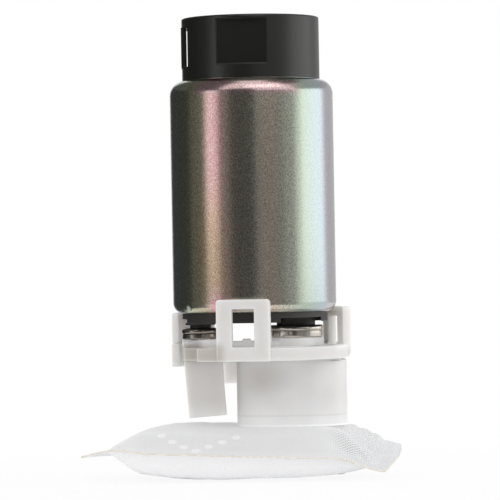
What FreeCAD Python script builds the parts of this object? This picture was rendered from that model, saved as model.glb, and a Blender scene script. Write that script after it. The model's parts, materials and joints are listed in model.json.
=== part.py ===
import FreeCAD, Part
import math
import os
import re
import Sketcher

# In-tank fuel pump with its strainer frame and filter sock.
# Millimetres. The pump's axis is Z, the sock lies on z = 0, and the side that
# carries the front loop faces -Y.

# Driving sizes. Each one is a cell of the sheet.
driving = {
    # How far a cutting tool passes the material
    "overshoot": 1.0,
    # Filter sock
    "sock_length": 75.0,
    "sock_depth": 40.0,
    "sock_height": 12.3,
    "sock_right_reach": 25.1,
    "sock_corner": 4.0,
    "sock_wall": 1.0,
    "seam_level": 4.4,
    "seam_thickness": 0.9,
    "waist_left": 7.5,
    "waist_right": 5.0,
    "waist_side": 3.0,
    "foot_left": 13.3,
    "foot_right": 11.4,
    "foot_side": 8.0,
    "crown_left": 19.6,
    "crown_right": 10.8,
    "crown_side": 8.0,
    "sock_mouth_gap": 0.1,
    # Spreader inside the sock
    "spreader_collar_wall": 1.8,
    "spreader_flange_reach": 3.0,
    "spreader_flange_thickness": 1.4,
    "spreader_rail_width": 2.0,
    "spreader_rail_spacing": 13.0,
    "spreader_left_gap": 0.7,
    "spreader_right_gap": 1.9,
    "spreader_bar_spacing": 9.5,
    "spreader_foot_inset": 0.8,
    "spreader_foot_spacing": 12.8,
    "spreader_foot_radius": 1.2,
    # Strainer frame
    "neck_x": 8.3,
    "neck_width": 25.6,
    "neck_depth": 22.0,
    "neck_height": 15.0,
    "neck_corner": 8.5,
    "neck_wall": 2.5,
    "neck_floor": 2.7,
    "neck_roof": 2.0,
    "neck_mouth_radius": 7.9,
    "neck_joint_height": 0.5,
    "neck_joint_inset": 0.1,
    "neck_slit_depth": 1.2,
    "ring_inner_radius": 19.5,
    "ring_wall": 2.0,
    "ring_height": 3.0,
    "ring_start_angle": -39.0,
    "ring_end_angle": 247.0,
    "rear_ring_start_angle": 100.0,
    "rear_ring_drop": 1.9,
    "rear_ring_rise": 0.5,
    "loop_width": 12.3,
    "loop_thickness": 2.2,
    "loop_window": 5.1,
    "loop_set_out": 0.1,
    "front_loop_angle": -7.5,
    "front_loop_rise": 14.1,
    "front_window_low": 3.3,
    "front_window_height": 8.6,
    "right_loop_angle": 111.5,
    "right_loop_drop": 0.5,
    "right_loop_rise": 11.8,
    "right_window_low": 1.6,
    "right_window_height": 7.9,
    "left_loop_angle": 225.0,
    "left_loop_drop": 2.0,
    "left_loop_rise": 10.8,
    "left_window_low": 1.7,
    "left_window_height": 5.2,
    "loop_corner": 3.0,
    "loop_round": 0.8,
    "deck_depth": 18.0,
    "deck_left_x": -16.6,
    "deck_arm_width": 15.0,
    "web_depth": 4.4,
    "web_rise": 1.2,
    "web_step_x": -3.0,
    "web_step_width": 2.0,
    "web_step_rise": 0.5,
    "socket_rise": 1.8,
    "socket_wall": 1.1,
    "pin_socket_radius": 4.35,
    "pin_socket_depth": 3.0,
    "leg_width": 8.7,
    "leg_thickness": 2.2,
    "leg_length": 17.6,
    "leg_lean_angle": 4.4,
    "leg_top_x": -16.9,
    "tab_start_angle": 163.0,
    "tab_end_angle": 202.0,
    "tab_drop": 6.5,
    # Metal collars and the grommet
    "collar_height": 2.9,
    "collar_radius": 6.5,
    "collar_foot": 0.4,
    "collar_round": 0.9,
    "collar_lip": 0.6,
    "collar_gap": 0.1,
    "pin_collar_height": 2.6,
    "pin_collar_radius": 4.35,
    "grommet_gap": 0.05,
    "grommet_flange_reach": 0.9,
    "grommet_flange": 1.4,
    # Housing
    "can_radius": 19.0,
    "can_height": 54.1,
    "can_wall": 1.2,
    "low_bend": 2.5,
    "low_bend_angle": 80.0,
    "top_bend": 2.6,
    "top_lip": 0.35,
    "seat_gap": 0.05,
    # Inlet cover
    "inlet_disc_drop": 2.1,
    "inlet_flange_height": 1.0,
    "inlet_x": 9.5,
    "nipple_radius": 4.0,
    "nipple_length": 13.9,
    "nipple_bore_radius": 2.6,
    "nipple_shoulder_reach": 0.5,
    "nipple_shoulder_drop": 0.9,
    "disc_flat_depth": 1.15,
    "disc_flat_height": 0.9,
    "notch_depth": 1.0,
    "notch_margin": 1.2,
    "notch_clearance": 0.2,
    "pin_x": -12.7,
    "pin_y": -3.0,
    "pin_radius": 2.45,
    "pin_length": 6.2,
    "pin_step_radius": 3.5,
    "pin_step_drop": 0.5,
    "thrust_pin_radius": 1.2,
    "thrust_pin_length": 2.5,
    "thrust_pin_depth": 1.0,
    "shaft_well_radius": 2.6,
    "shaft_well_depth": 3.0,
    # Pumping stage
    "channel_radius": 12.9,
    "channel_width": 2.6,
    "channel_depth": 1.2,
    "channel_angle": 320.0,
    "port_radius": 1.6,
    "outlet_port_angle": 300.0,
    "impeller_rim": 0.8,
    "impeller_thickness": 3.8,
    "impeller_end_gap": 0.1,
    "impeller_side_gap": 0.2,
    "vane_count": 36.0,
    "vane_thickness": 0.8,
    "vane_length": 2.2,
    "casing_roof": 4.0,
    "casing_hub_radius": 4.6,
    "casing_hub_rise": 1.6,
    # Shaft, armature and commutator
    "shaft_radius": 1.6,
    "shaft_gap": 0.03,
    "shaft_flat": 0.5,
    "bush_wall": 1.2,
    "core_radius": 11.8,
    "core_lift": 4.4,
    "slot_count": 8.0,
    "slot_opening": 1.4,
    "slot_width": 3.6,
    "slot_depth": 5.0,
    "slot_lip": 1.0,
    "coil_end_height": 3.0,
    "coil_radius": 10.4,
    "coil_inner_radius": 3.6,
    "coil_slack": 0.15,
    "commutator_radius": 9.6,
    "commutator_height": 2.8,
    "commutator_gap": 1.2,
    "commutator_hub_wall": 1.0,
    "segment_gap": 0.5,
    "segment_gap_depth": 1.2,
    # Magnets and their clips
    "magnet_thickness": 5.2,
    "magnet_overhang": 2.0,
    "magnet_angle": 130.0,
    "magnet_gap": 0.05,
    "clip_thickness": 0.8,
    "clip_angle": 48.0,
    "clip_leg": 3.0,
    "clip_leg_angle": 3.0,
    # Brush holder and brushes
    "holder_plate": 2.4,
    "holder_hub_wall": 0.9,
    "top_bush_height": 4.0,
    "brush_distance": 6.4,
    "brush_length": 5.0,
    "brush_width": 4.0,
    "brush_height": 7.0,
    "brush_side_gap": 0.12,
    "brush_contact_gap": 0.08,
    "brush_tube_wall": 1.0,
    "brush_tube_drop": 1.0,
    "flow_hole_radius": 2.3,
    "flow_hole_distance": 9.4,
    "spring_wire": 0.3,
    "spring_turn_count": 4.0,
    "brush_spring_radius": 1.5,
    "choke_x": 7.2,
    "choke_y": -8.8,
    "choke_core_radius": 1.1,
    "choke_coil_radius": 1.8,
    "choke_end": 1.0,
    # Outlet cover
    "cover_angle": -8.0,
    "cover_height": 14.5,
    "cover_wall": 1.6,
    "cover_flange_drop": 8.6,
    "cover_flange_wall": 2.5,
    "deck_level": 2.4,
    "deck_thickness": 1.6,
    "rim_round": 0.4,
    "key_flat_distance": 14.4,
    "key_flat_width": 11.6,
    "key_flat_level": 4.4,
    "key_flat_rim": 0.9,
    "strap_flat_distance": 14.55,
    "strap_angle": 8.0,
    "strap_low": 3.2,
    "strap_window": 8.9,
    "strap_window_width": 13.2,
    "strap_width": 6.0,
    "strap_gap": 0.35,
    "strap_thickness": 1.2,
    "strap_root": 0.3,
    "backing_wall": 1.3,
    # Connector
    "tower_width": 13.8,
    "tower_back_y": -5.0,
    "tower_height": 9.6,
    "socket_width": 11.4,
    "socket_front_y": -13.0,
    "socket_back_y": -6.4,
    "socket_corner": 0.8,
    "socket_sink": 0.4,
    "blade_spacing": 5.2,
    "blade_width": 2.8,
    "blade_thickness": 0.8,
    "blade_y": -9.7,
    "blade_rise": 4.4,
    "blade_drop": 4.6,
    "blade_slot_gap": 0.05,
    # Outlet spigot and check valve
    "spigot_x": 2.5,
    "spigot_y": 7.6,
    "spigot_radius": 4.0,
    "spigot_length": 6.4,
    "spigot_bore_radius": 2.3,
    "spigot_root_reach": 0.4,
    "spigot_shoulder_reach": 1.2,
    "spigot_shoulder_height": 2.0,
    "spigot_groove_height": 1.8,
    "spigot_tip": 0.5,
    "seal_wire_radius": 0.85,
    "valve_chamber_radius": 3.0,
    "valve_chamber_drop": 4.8,
    "valve_chamber_rise": 3.2,
    "valve_boss_wall": 1.0,
    "valve_seat_height": 1.5,
    "valve_seat_bore": 1.8,
    "valve_head_radius": 2.7,
    "valve_head_height": 1.2,
    "valve_stem_radius": 0.8,
    "valve_stem_length": 5.0,
    "valve_lift_gap": 0.05,
    "check_spring_radius": 2.5,
    # Relief valve
    "relief_x": -7.6,
    "relief_y": 7.2,
    "relief_boss_radius": 3.0,
    "relief_boss_rise": 4.2,
    "relief_boss_drop": 2.6,
    "relief_bore_radius": 1.9,
    "relief_port_radius": 1.0,
    "relief_port_length": 1.5,
    "relief_ball_radius": 1.5,
    "relief_ball_gap": 0.03,
    "relief_plug_height": 1.4,
    "relief_plug_hole": 0.8,
    "relief_spring_radius": 1.1,
}

# Sizes that follow from the driving ones
derived = {
    # Levels above the plane that the sock lies on
    "neck_top": "sock_height + neck_height",
    "ring_low": "neck_top + neck_joint_height",
    "ring_top": "ring_low + ring_height",
    "socket_top": "ring_top + socket_rise",
    "collar_top": "socket_top + collar_height",
    "inlet_disc_low": "collar_top + nipple_shoulder_drop",
    "can_low": "inlet_disc_low + inlet_disc_drop",
    "can_top": "can_low + can_height",
    "stage_level": "can_low + low_bend + inlet_flange_height",
    "impeller_low": "stage_level + impeller_end_gap",
    "casing_ceiling": "impeller_thickness + 2 * impeller_end_gap",
    "casing_top": "stage_level + casing_ceiling + casing_roof",
    "core_low": "casing_top + casing_hub_rise + core_lift",
    "cover_low": "can_top - cover_flange_drop",
    "commutator_top": "cover_low - brush_tube_drop - commutator_gap",
    "commutator_low": "commutator_top - commutator_height",
    "core_height": "commutator_low - coil_end_height - core_low",
    "magnet_height": "core_height + 2 * magnet_overhang",
    "cover_ceiling": "deck_level - deck_thickness",
    "thrust_pin_low": "stage_level - shaft_well_depth - thrust_pin_depth",
    "shaft_low": "thrust_pin_low + thrust_pin_length",
    # Ends of the sock and of the spreader's rails
    "sock_right_x": "neck_x + sock_right_reach",
    "sock_left_x": "sock_right_x - sock_length",
    "rail_left_x": "sock_left_x + crown_left + sock_wall + spreader_left_gap",
    "rail_right_x": "sock_right_x - crown_right - sock_wall - spreader_right_gap",
    # Radii
    "can_bore": "can_radius - can_wall",
    "low_bend_centre": "can_radius - low_bend",
    "lip_radius": "low_bend_centre + low_bend * cos(low_bend_angle)",
    "inlet_disc_radius": "lip_radius - seat_gap",
    "top_bend_centre": "can_radius - top_bend",
    "cover_radius": "top_bend_centre - top_lip - seat_gap",
    "cover_bore": "cover_radius - cover_wall",
    "inner_radius": "can_bore - seat_gap",
    "holder_radius": "inner_radius - cover_flange_wall - seat_gap",
    "impeller_radius": "channel_radius + vane_length / 2 + impeller_rim",
    "impeller_bore": "impeller_radius + impeller_side_gap",
    "bush_radius": "shaft_radius + shaft_gap + bush_wall",
    "ring_radius": "ring_inner_radius + ring_wall",
    "loop_inner": "ring_inner_radius + loop_set_out",
    "socket_bore": "collar_radius - socket_wall",
    "spigot_shoulder_radius": "spigot_radius + spigot_shoulder_reach",
    # Heights inside the covers
    "spigot_base": "deck_level + spigot_shoulder_height + spigot_groove_height",
    "spigot_top": "spigot_base + spigot_length",
    "valve_seat_top": "valve_seat_height - valve_chamber_drop",
    "valve_chamber_top": "deck_level + valve_chamber_rise",
    "relief_floor": "relief_port_length - relief_boss_drop",
    "relief_top": "deck_level + relief_boss_rise",
    "ball_centre": "relief_floor + sqrt(relief_ball_radius^2 - relief_port_radius^2) + relief_ball_gap",
    "brush_low": "commutator_top + brush_contact_gap",
    "brush_top": "brush_low + brush_height",
    "holder_drop": "can_top + cover_ceiling - cover_low",
}

document = FreeCAD.newDocument("fuel_pump")
sheet = document.addObject("Spreadsheet::Sheet", "Sizes")
for row, (word, number) in enumerate(driving.items(), start=1):
    sheet.set(f"A{row}", word)
    sheet.set(f"B{row}", str(number))
    sheet.setAlias(f"B{row}", word)
document.recompute()

up = FreeCAD.Vector(0, 0, 1)
nodes = {}


def bound(text):
    """Turn the names of sizes in an expression into references to the sheet."""
    def reference(match):
        word = match.group(0)
        if word in derived:
            return "(" + bound(derived[word]) + ")"
        if word in driving:
            return "Sizes." + word
        return word
    return re.sub(r"[a-z][a-z_]*", reference, str(text))


def value(text):
    """The number that an expression of sizes gives."""
    return float(sheet.evalExpression(bound(text)))


def bind(thing, **sizes):
    """Bind properties of an object to expressions of sizes."""
    for name, text in sizes.items():
        thing.setExpression(name, bound(text))


def place(thing, x="0", y="0", z="0", turn="0"):
    """Bind an object's Placement: its base point, and its turn about Z."""
    thing.setExpression("Placement.Base.x", bound(x))
    thing.setExpression("Placement.Base.y", bound(y))
    thing.setExpression("Placement.Base.z", bound(z))
    thing.setExpression("Placement.Rotation.Angle", bound(turn))


def node(thing, label):
    """Make an object a sub-part with its own label."""
    thing.Label = label
    nodes[label] = thing
    return thing


# Helpers for bodies made of sketches


def new_body(label, x="0", y="0", z="0", turn="0"):
    body = node(document.addObject("PartDesign::Body", label), label)
    place(body, x, y, z, turn)
    return body


def new_sketch(body, name, role, level="0", turn="0"):
    """A sketch on one of the body's own planes, lifted to a level and turned about its normal."""
    sketch = body.newObject("Sketcher::SketchObject", name)
    plane = [item for item in body.Origin.OriginFeatures if item.Role == role][0]
    sketch.AttachmentSupport = [(plane, "")]
    sketch.MapMode = "FlatFace"
    sketch.setExpression("AttachmentOffset.Base.z", bound(level))
    sketch.setExpression("AttachmentOffset.Rotation.Angle", bound(turn))
    return sketch


def fix_point(sketch, index, position, corner):
    """Hold a point of the sketch at a pair of sizes."""
    for kind, text in zip(("DistanceX", "DistanceY"), corner):
        rule = Sketcher.Constraint(kind, -1, 1, index, position, value(text))
        sketch.setExpression(f"Constraints[{sketch.addConstraint(rule)}]", bound(text))


def curve_between(start, end, radius, side):
    """An arc from start to end. It bulges to the right of that way for side 1, to the left for -1."""
    middle = (start + end) * 0.5
    chord = end - start
    normal = FreeCAD.Vector(chord.y, -chord.x, 0).normalize() * side
    drop = math.sqrt(max(radius ** 2 - (chord.Length / 2) ** 2, 0))
    return Part.Arc(start, middle + normal * (radius - drop), end)


def outline(sketch, corners, arcs=None):
    """Draw a closed outline. arcs gives (radius, side) for the stretch that follows a corner."""
    arcs = arcs or {}
    points = [FreeCAD.Vector(value(x), value(y), 0) for x, y in corners]
    first = sketch.GeometryCount
    ends = []
    for number, start in enumerate(points):
        end = points[(number + 1) % len(points)]
        if number in arcs:
            radius, side = arcs[number]
            index = sketch.addGeometry(curve_between(start, end, value(radius), side), False)
            rule = Sketcher.Constraint("Radius", index, value(radius))
            sketch.setExpression(f"Constraints[{sketch.addConstraint(rule)}]", bound(radius))
        else:
            index = sketch.addGeometry(Part.LineSegment(start, end), False)
        forward = (sketch.getPoint(index, 1) - start).Length < (sketch.getPoint(index, 2) - start).Length
        ends.append((1, 2) if forward else (2, 1))
    count = len(points)
    for number, corner in enumerate(corners):
        following = (number + 1) % count
        rule = Sketcher.Constraint("Coincident", first + number, ends[number][1],
                                   first + following, ends[following][0])
        sketch.addConstraint(rule)
        fix_point(sketch, first + number, ends[number][0], corner)


def circle(sketch, x, y, radius):
    """Draw a circle bound to its centre and radius."""
    centre = FreeCAD.Vector(value(x), value(y), 0)
    index = sketch.addGeometry(Part.Circle(centre, up, value(radius)), False)
    rule = Sketcher.Constraint("Radius", index, value(radius))
    sketch.setExpression(f"Constraints[{sketch.addConstraint(rule)}]", bound(radius))
    fix_point(sketch, index, 3, (x, y))


def rectangle(sketch, left, right, low, high):
    outline(sketch, [(left, low), (right, low), (right, high), (left, high)])


def rounded(sketch, left, right, low, high, corner):
    """Draw a rectangle with round corners."""
    outline(sketch, [
        (f"{left} + {corner}", low), (f"{right} - {corner}", low),
        (right, f"{low} + {corner}"), (right, f"{high} - {corner}"),
        (f"{right} - {corner}", high), (f"{left} + {corner}", high),
        (left, f"{high} - {corner}"), (left, f"{low} + {corner}"),
    ], {1: (corner, 1), 3: (corner, 1), 5: (corner, 1), 7: (corner, 1)})


def turned(body, name, corners, arcs=None, cut=False, turn="360", spread="0"):
    """Revolve an outline of (radius, height) pairs about the body's axis, or cut a groove with it."""
    sketch = new_sketch(body, name + "_section", "XZ_Plane")
    outline(sketch, corners, arcs)
    kind = "PartDesign::Groove" if cut else "PartDesign::Revolution"
    feature = body.newObject(kind, name)
    feature.Profile = (sketch, [""])
    feature.ReferenceAxis = (sketch, ["V_Axis"])
    bind(feature, Angle=turn)
    return feature


def raised(body, name, draw, low, high, turn="0", cut=False):
    """Pad a plan from one level up to another, or cut a pocket between them."""
    sketch = new_sketch(body, name + "_plan", "XY_Plane", low, turn)
    draw(sketch)
    document.recompute()
    before = body.Shape.Volume if cut else 0
    feature = body.newObject("PartDesign::Pocket" if cut else "PartDesign::Pad", name)
    feature.Profile = sketch
    feature.Reversed = cut
    bind(feature, Length=f"({high}) - ({low})")
    if cut:
        document.recompute()
        if not body.Shape.Volume < before - 1e-6:
            raise RuntimeError(f"{name} cuts nothing from {body.Label}")
    return feature


def repeated(body, name, feature, count):
    """Repeat a feature round the body's axis."""
    pattern = body.newObject("PartDesign::PolarPattern", name)
    pattern.Originals = [feature]
    axis = [item for item in body.Origin.OriginFeatures if item.Role == "Z_Axis"][0]
    pattern.Axis = (axis, [""])
    pattern.Angle = 360
    bind(pattern, Occurrences=count)
    body.Tip = pattern
    return pattern


# Helpers for pieces made of primitives


def cylinder(name, radius, height, x="0", y="0", z="0", start="0", turn="360"):
    """A cylinder, or a sector that starts at an angle about Z."""
    piece = document.addObject("Part::Cylinder", name)
    bind(piece, Radius=radius, Height=height, Angle=turn)
    place(piece, x, y, z, start)
    return piece


def box(name, length, width, height, x="0", y="0", z="0", turn="0"):
    piece = document.addObject("Part::Box", name)
    bind(piece, Length=length, Width=width, Height=height)
    place(piece, x, y, z, turn)
    return piece


def joined(name, pieces):
    result = document.addObject("Part::MultiFuse", name)
    result.Shapes = pieces
    return result


def minus(name, base, tool):
    result = document.addObject("Part::Cut", name)
    result.Base = base
    result.Tool = tool
    return result


def sector(name, inner, outer, low, high, start, turn):
    """A stretch of ring between two radii and two levels. Angles run from -Y towards +X."""
    height = f"({high}) - ({low})"
    begin = f"({start}) - 90"
    whole = cylinder(name + "_outer", outer, height, z=low, start=begin, turn=turn)
    core = cylinder(name + "_inner", inner, f"{height} + 2 * overshoot", z=f"({low}) - overshoot")
    return minus(name, whole, core)


def coil_spring(label, radius, wire, turns, low, high, x, y):
    """A wound spring between two levels, of six-sided wire."""
    length = value(high) - value(low)
    thickness = value(wire)
    rise = length - 2 * thickness
    helix = Part.makeHelix(rise / value(turns), rise, value(radius))
    start = FreeCAD.Vector(value(radius), 0, 0)
    corners = []
    for step in range(7):
        angle = math.radians(60 * step)
        corners.append(start + FreeCAD.Vector(math.cos(angle), 0, math.sin(angle)) * thickness)
    section = Part.makePolygon(corners)
    shape = Part.Wire(helix).makePipeShell([section], True, True)
    spring = node(document.addObject("Part::Feature", label), label)
    spring.Shape = shape
    centre = FreeCAD.Vector(value(x), value(y), value(low) + thickness)
    spring.Placement = FreeCAD.Placement(centre, FreeCAD.Rotation())
    return spring


def turned_x(x, y, angle="cover_angle"):
    """The x of a point turned about the pump's axis, by the outlet cover's angle or another."""
    return f"(({x}) * cos({angle}) - ({y}) * sin({angle}))"


def turned_y(x, y, angle="cover_angle"):
    return f"(({x}) * sin({angle}) + ({y}) * cos({angle}))"


# Housing: a drawn steel tube, rolled in over both covers


def housing():
    body = new_body("housing", z="can_low")
    inner_low = "low_bend - sqrt((low_bend - can_wall)^2 - (lip_radius - low_bend_centre)^2)"
    turned(body, "tube", [
        ("lip_radius", "low_bend - low_bend * sin(low_bend_angle)"),
        ("can_radius", "low_bend"),
        ("can_radius", "can_height - top_bend"),
        ("top_bend_centre", "can_height"),
        ("top_bend_centre - top_lip", "can_height"),
        ("top_bend_centre - top_lip", "can_height - can_wall"),
        ("top_bend_centre", "can_height - can_wall"),
        ("can_bore", "can_height - top_bend"),
        ("can_bore", "low_bend"),
        ("lip_radius", inner_low),
    ], {
        0: ("low_bend", 1),
        2: ("top_bend", 1),
        6: ("top_bend - can_wall", -1),
        8: ("low_bend - can_wall", -1),
    })


# Inlet cover: the disc under the pump, with the inlet nipple and the locating pin


def inlet_cover():
    body = new_body("inlet_cover", z="can_low")
    bend = "(low_bend - can_wall - seat_gap)"
    seat = f"low_bend - sqrt({bend}^2 - (inlet_disc_radius - low_bend_centre)^2)"
    top = "low_bend + inlet_flange_height"
    disc_low = "0 - inlet_disc_drop"
    shoulder_low = f"{disc_low} - nipple_shoulder_drop"
    turned(body, "disc", [
        ("0", disc_low),
        ("inlet_disc_radius", disc_low),
        ("inlet_disc_radius", seat),
        ("inner_radius", "low_bend"),
        ("inner_radius", top),
        ("0", top),
    ], {2: (bend, 1)})
    raised(body, "disc_flat", lambda sketch: rectangle(
        sketch, "0 - can_radius", "disc_flat_depth - inlet_disc_radius", "0 - can_radius",
        "can_radius"), disc_low, f"{disc_low} + disc_flat_height", cut=True)
    shoulder = "nipple_radius + nipple_shoulder_reach"
    raised(body, "notch", lambda sketch: rectangle(
        sketch, f"inlet_x - {shoulder} - notch_clearance", f"inlet_x + {shoulder} + notch_margin",
        "0 - can_radius", "0"), disc_low, f"{disc_low} + notch_depth", cut=True)
    raised(body, "nipple_shoulder", lambda sketch: circle(sketch, "inlet_x", "0", shoulder),
           shoulder_low, f"{disc_low} + notch_depth + notch_clearance")
    raised(body, "nipple", lambda sketch: circle(sketch, "inlet_x", "0", "nipple_radius"),
           f"{shoulder_low} - nipple_length", shoulder_low)
    raised(body, "pin_step", lambda sketch: circle(sketch, "pin_x", "pin_y", "pin_step_radius"),
           f"{disc_low} - pin_step_drop", disc_low)
    raised(body, "pin", lambda sketch: circle(sketch, "pin_x", "pin_y", "pin_radius"),
           f"{disc_low} - pin_length", f"{disc_low} - pin_step_drop")
    raised(body, "nipple_bore", lambda sketch: circle(sketch, "inlet_x", "0", "nipple_bore_radius"),
           f"{shoulder_low} - nipple_length", f"{top} - 2 * channel_depth", cut=True)
    raised(body, "inlet_port", lambda sketch: circle(
        sketch, "channel_radius", "0", "port_radius"), f"{top} - 4 * channel_depth", top, cut=True)
    raised(body, "shaft_well", lambda sketch: circle(sketch, "0", "0", "shaft_well_radius"),
           f"{top} - shaft_well_depth", top, cut=True)
    raised(body, "thrust_pin_seat", lambda sketch: circle(sketch, "0", "0", "thrust_pin_radius"),
           f"{top} - shaft_well_depth - thrust_pin_depth", f"{top} - shaft_well_depth", cut=True)
    turned(body, "side_channel", [
        ("channel_radius - channel_width / 2", f"{top} - channel_depth"),
        ("channel_radius + channel_width / 2", f"{top} - channel_depth"),
        ("channel_radius + channel_width / 2", f"{top} + overshoot"),
        ("channel_radius - channel_width / 2", f"{top} + overshoot"),
    ], cut=True, turn="channel_angle")


# Pumping stage


def pump_casing():
    body = new_body("pump_casing", z="stage_level")
    roof = "casing_ceiling + casing_roof"
    bore = "bush_radius"
    turned(body, "cup", [
        (bore, "casing_ceiling"),
        ("impeller_bore", "casing_ceiling"),
        ("impeller_bore", "0"),
        ("inner_radius", "0"),
        ("inner_radius", roof),
        ("casing_hub_radius", roof),
        ("casing_hub_radius", f"{roof} + casing_hub_rise"),
        (bore, f"{roof} + casing_hub_rise"),
    ])
    turned(body, "side_channel", [
        ("channel_radius - channel_width / 2", "casing_ceiling - overshoot"),
        ("channel_radius + channel_width / 2", "casing_ceiling - overshoot"),
        ("channel_radius + channel_width / 2", "casing_ceiling + channel_depth"),
        ("channel_radius - channel_width / 2", "casing_ceiling + channel_depth"),
    ], cut=True, turn="channel_angle")
    raised(body, "outlet_port", lambda sketch: circle(
        sketch, "channel_radius", "0", "port_radius"), "casing_ceiling", roof,
        turn="outlet_port_angle", cut=True)


def impeller():
    body = new_body("impeller", z="impeller_low")
    turned(body, "disc", [
        ("0", "0"), ("impeller_radius", "0"),
        ("impeller_radius", "impeller_thickness"), ("0", "impeller_thickness"),
    ])
    flat = "shaft_radius - shaft_flat"
    half_chord = f"sqrt(shaft_radius^2 - ({flat})^2)"
    raised(body, "flatted_bore", lambda sketch: outline(sketch, [
        (f"0 - {half_chord}", flat), ("0 - shaft_radius", "0"), ("0", "0 - shaft_radius"),
        ("shaft_radius", "0"), (half_chord, flat),
    ], {0: ("shaft_radius", 1), 1: ("shaft_radius", 1), 2: ("shaft_radius", 1),
        3: ("shaft_radius", 1)}), "0", "impeller_thickness", cut=True)
    cell_low = "channel_radius - vane_length / 2"
    cell_high = "channel_radius + vane_length / 2"
    pitch = "(360 / vane_count)"
    inner_half = f"({cell_low}) * sin({pitch} / 2) - vane_thickness / 2"
    outer_half = f"({cell_high}) * sin({pitch} / 2) - vane_thickness / 2"
    cell = raised(body, "vane_cell", lambda sketch: outline(sketch, [
        (cell_low, f"0 - ({inner_half})"), (cell_high, f"0 - ({outer_half})"),
        (cell_high, outer_half), (cell_low, inner_half),
    ]), "0", "impeller_thickness", cut=True)
    repeated(body, "vane_cells", cell, "vane_count")


def bush(label, level, height):
    """A plain bearing bush of sintered bronze."""
    outer = cylinder(label + "_outer", "bush_radius", height)
    bore = cylinder(label + "_bore", "shaft_radius + shaft_gap", f"{height} + 2 * overshoot",
                    z="0 - overshoot")
    place(node(minus(label, outer, bore), label), z=level)


def thrust_pin():
    pin = cylinder("thrust_pin", "thrust_pin_radius", "thrust_pin_length", z="thrust_pin_low")
    node(pin, "thrust_pin")


# Rotor


def shaft():
    body = new_body("shaft", z="shaft_low")
    length = "can_top + cover_ceiling - shaft_low - 2 * shaft_radius - holder_hub_wall"
    turned(body, "rod", [
        ("0", "0"), ("shaft_radius", "0"), ("shaft_radius", length), ("0", length),
    ])
    raised(body, "drive_flat", lambda sketch: rectangle(
        sketch, "0 - 2 * shaft_radius", "2 * shaft_radius",
        "shaft_radius - shaft_flat", "2 * shaft_radius"),
        "0 - overshoot", "impeller_low + impeller_thickness - shaft_low", cut=True)


def armature_core():
    body = new_body("armature_core", z="core_low")
    turned(body, "stack", [
        ("shaft_radius", "0"), ("core_radius", "0"),
        ("core_radius", "core_height"), ("shaft_radius", "core_height"),
    ])
    neck = "core_radius - slot_lip"
    slot = raised(body, "slot", lambda sketch: outline(sketch, [
        (f"{neck} - slot_depth", "0 - slot_width / 4"), (neck, "0 - slot_width / 2"),
        (neck, "0 - slot_opening / 2"), ("core_radius + overshoot", "0 - slot_opening / 2"),
        ("core_radius + overshoot", "slot_opening / 2"), (neck, "slot_opening / 2"),
        (neck, "slot_width / 2"), (f"{neck} - slot_depth", "slot_width / 4"),
    ]), "0", "core_height", cut=True)
    repeated(body, "slots", slot, "slot_count")


def windings():
    body = new_body("windings", z="core_low")
    for name, low in (("lower_turns", "0 - coil_end_height"), ("upper_turns", "core_height")):
        turned(body, name, [
            ("coil_inner_radius", low), ("coil_radius", low),
            ("coil_radius", f"{low} + coil_end_height"),
            ("coil_inner_radius", f"{low} + coil_end_height"),
        ])
        if name == "lower_turns":
            neck = "core_radius - slot_lip - coil_slack"
            inner = "core_radius - slot_lip - slot_depth + coil_slack"
            bar = raised(body, "bar", lambda sketch: outline(sketch, [
                (inner, "0 - slot_width / 4 + coil_slack"), (neck, "0 - slot_width / 2 + 2 * coil_slack"),
                (neck, "slot_width / 2 - 2 * coil_slack"), (inner, "slot_width / 4 - coil_slack"),
            ]), "0 - coil_end_height / 2", "core_height + coil_end_height / 2")
            repeated(body, "bars", bar, "slot_count")


def commutator():
    body = new_body("commutator", z="commutator_low")
    turned(body, "disc", [
        ("shaft_radius", "0"), ("commutator_radius", "0"),
        ("commutator_radius", "commutator_height"), ("shaft_radius", "commutator_height"),
    ])
    gap = raised(body, "segment_gap_cut", lambda sketch: rectangle(
        sketch, "shaft_radius + commutator_hub_wall", "commutator_radius + overshoot",
        "0 - segment_gap / 2", "segment_gap / 2"),
        "commutator_height - segment_gap_depth", "commutator_height + overshoot", cut=True)
    repeated(body, "segment_gaps", gap, "slot_count")


# Magnets and the clips that spread them against the housing


def magnets():
    level = "core_low - magnet_overhang"
    outer = "can_bore - magnet_gap"
    for number, middle in ((1, "0"), (2, "180")):
        label = f"magnet_{number}"
        arc = sector(label, f"{outer} - magnet_thickness", outer, "0", "magnet_height",
                     f"{middle} - magnet_angle / 2", "magnet_angle")
        place(node(arc, label), z=level)


def magnet_clips():
    level = "core_low - magnet_overhang"
    outer = "can_bore - magnet_gap"
    for number, middle in ((1, "90"), (2, "270")):
        label = f"magnet_clip_{number}"
        start = f"{middle} - clip_angle / 2"
        band = sector(label + "_band", f"{outer} - clip_thickness", outer, "0", "magnet_height",
                      start, "clip_angle")
        legs = []
        for side, at in (("a", start), ("b", f"{middle} + clip_angle / 2 - clip_leg_angle")):
            legs.append(sector(f"{label}_leg_{side}", f"{outer} - clip_thickness - clip_leg", outer,
                               "0", "magnet_height", at, "clip_leg_angle"))
        place(node(joined(label, [band] + legs), label), z=level)


# Brush holder, brushes, springs and chokes


def holder_bore(sketch, side):
    """The square bore of a brush tube, a little wider than the brush."""
    middle = f"{side} * brush_distance"
    rectangle(sketch, f"{middle} - brush_length / 2 - brush_side_gap",
              f"{middle} + brush_length / 2 + brush_side_gap",
              "0 - brush_width / 2 - brush_side_gap", "brush_width / 2 + brush_side_gap")


def holder_tube(sketch, side):
    middle = f"{side} * brush_distance"
    reach = "brush_side_gap + brush_tube_wall"
    rectangle(sketch, f"{middle} - brush_length / 2 - ({reach})",
              f"{middle} + brush_length / 2 + {reach}",
              f"0 - brush_width / 2 - ({reach})", f"brush_width / 2 + {reach}")


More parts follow.
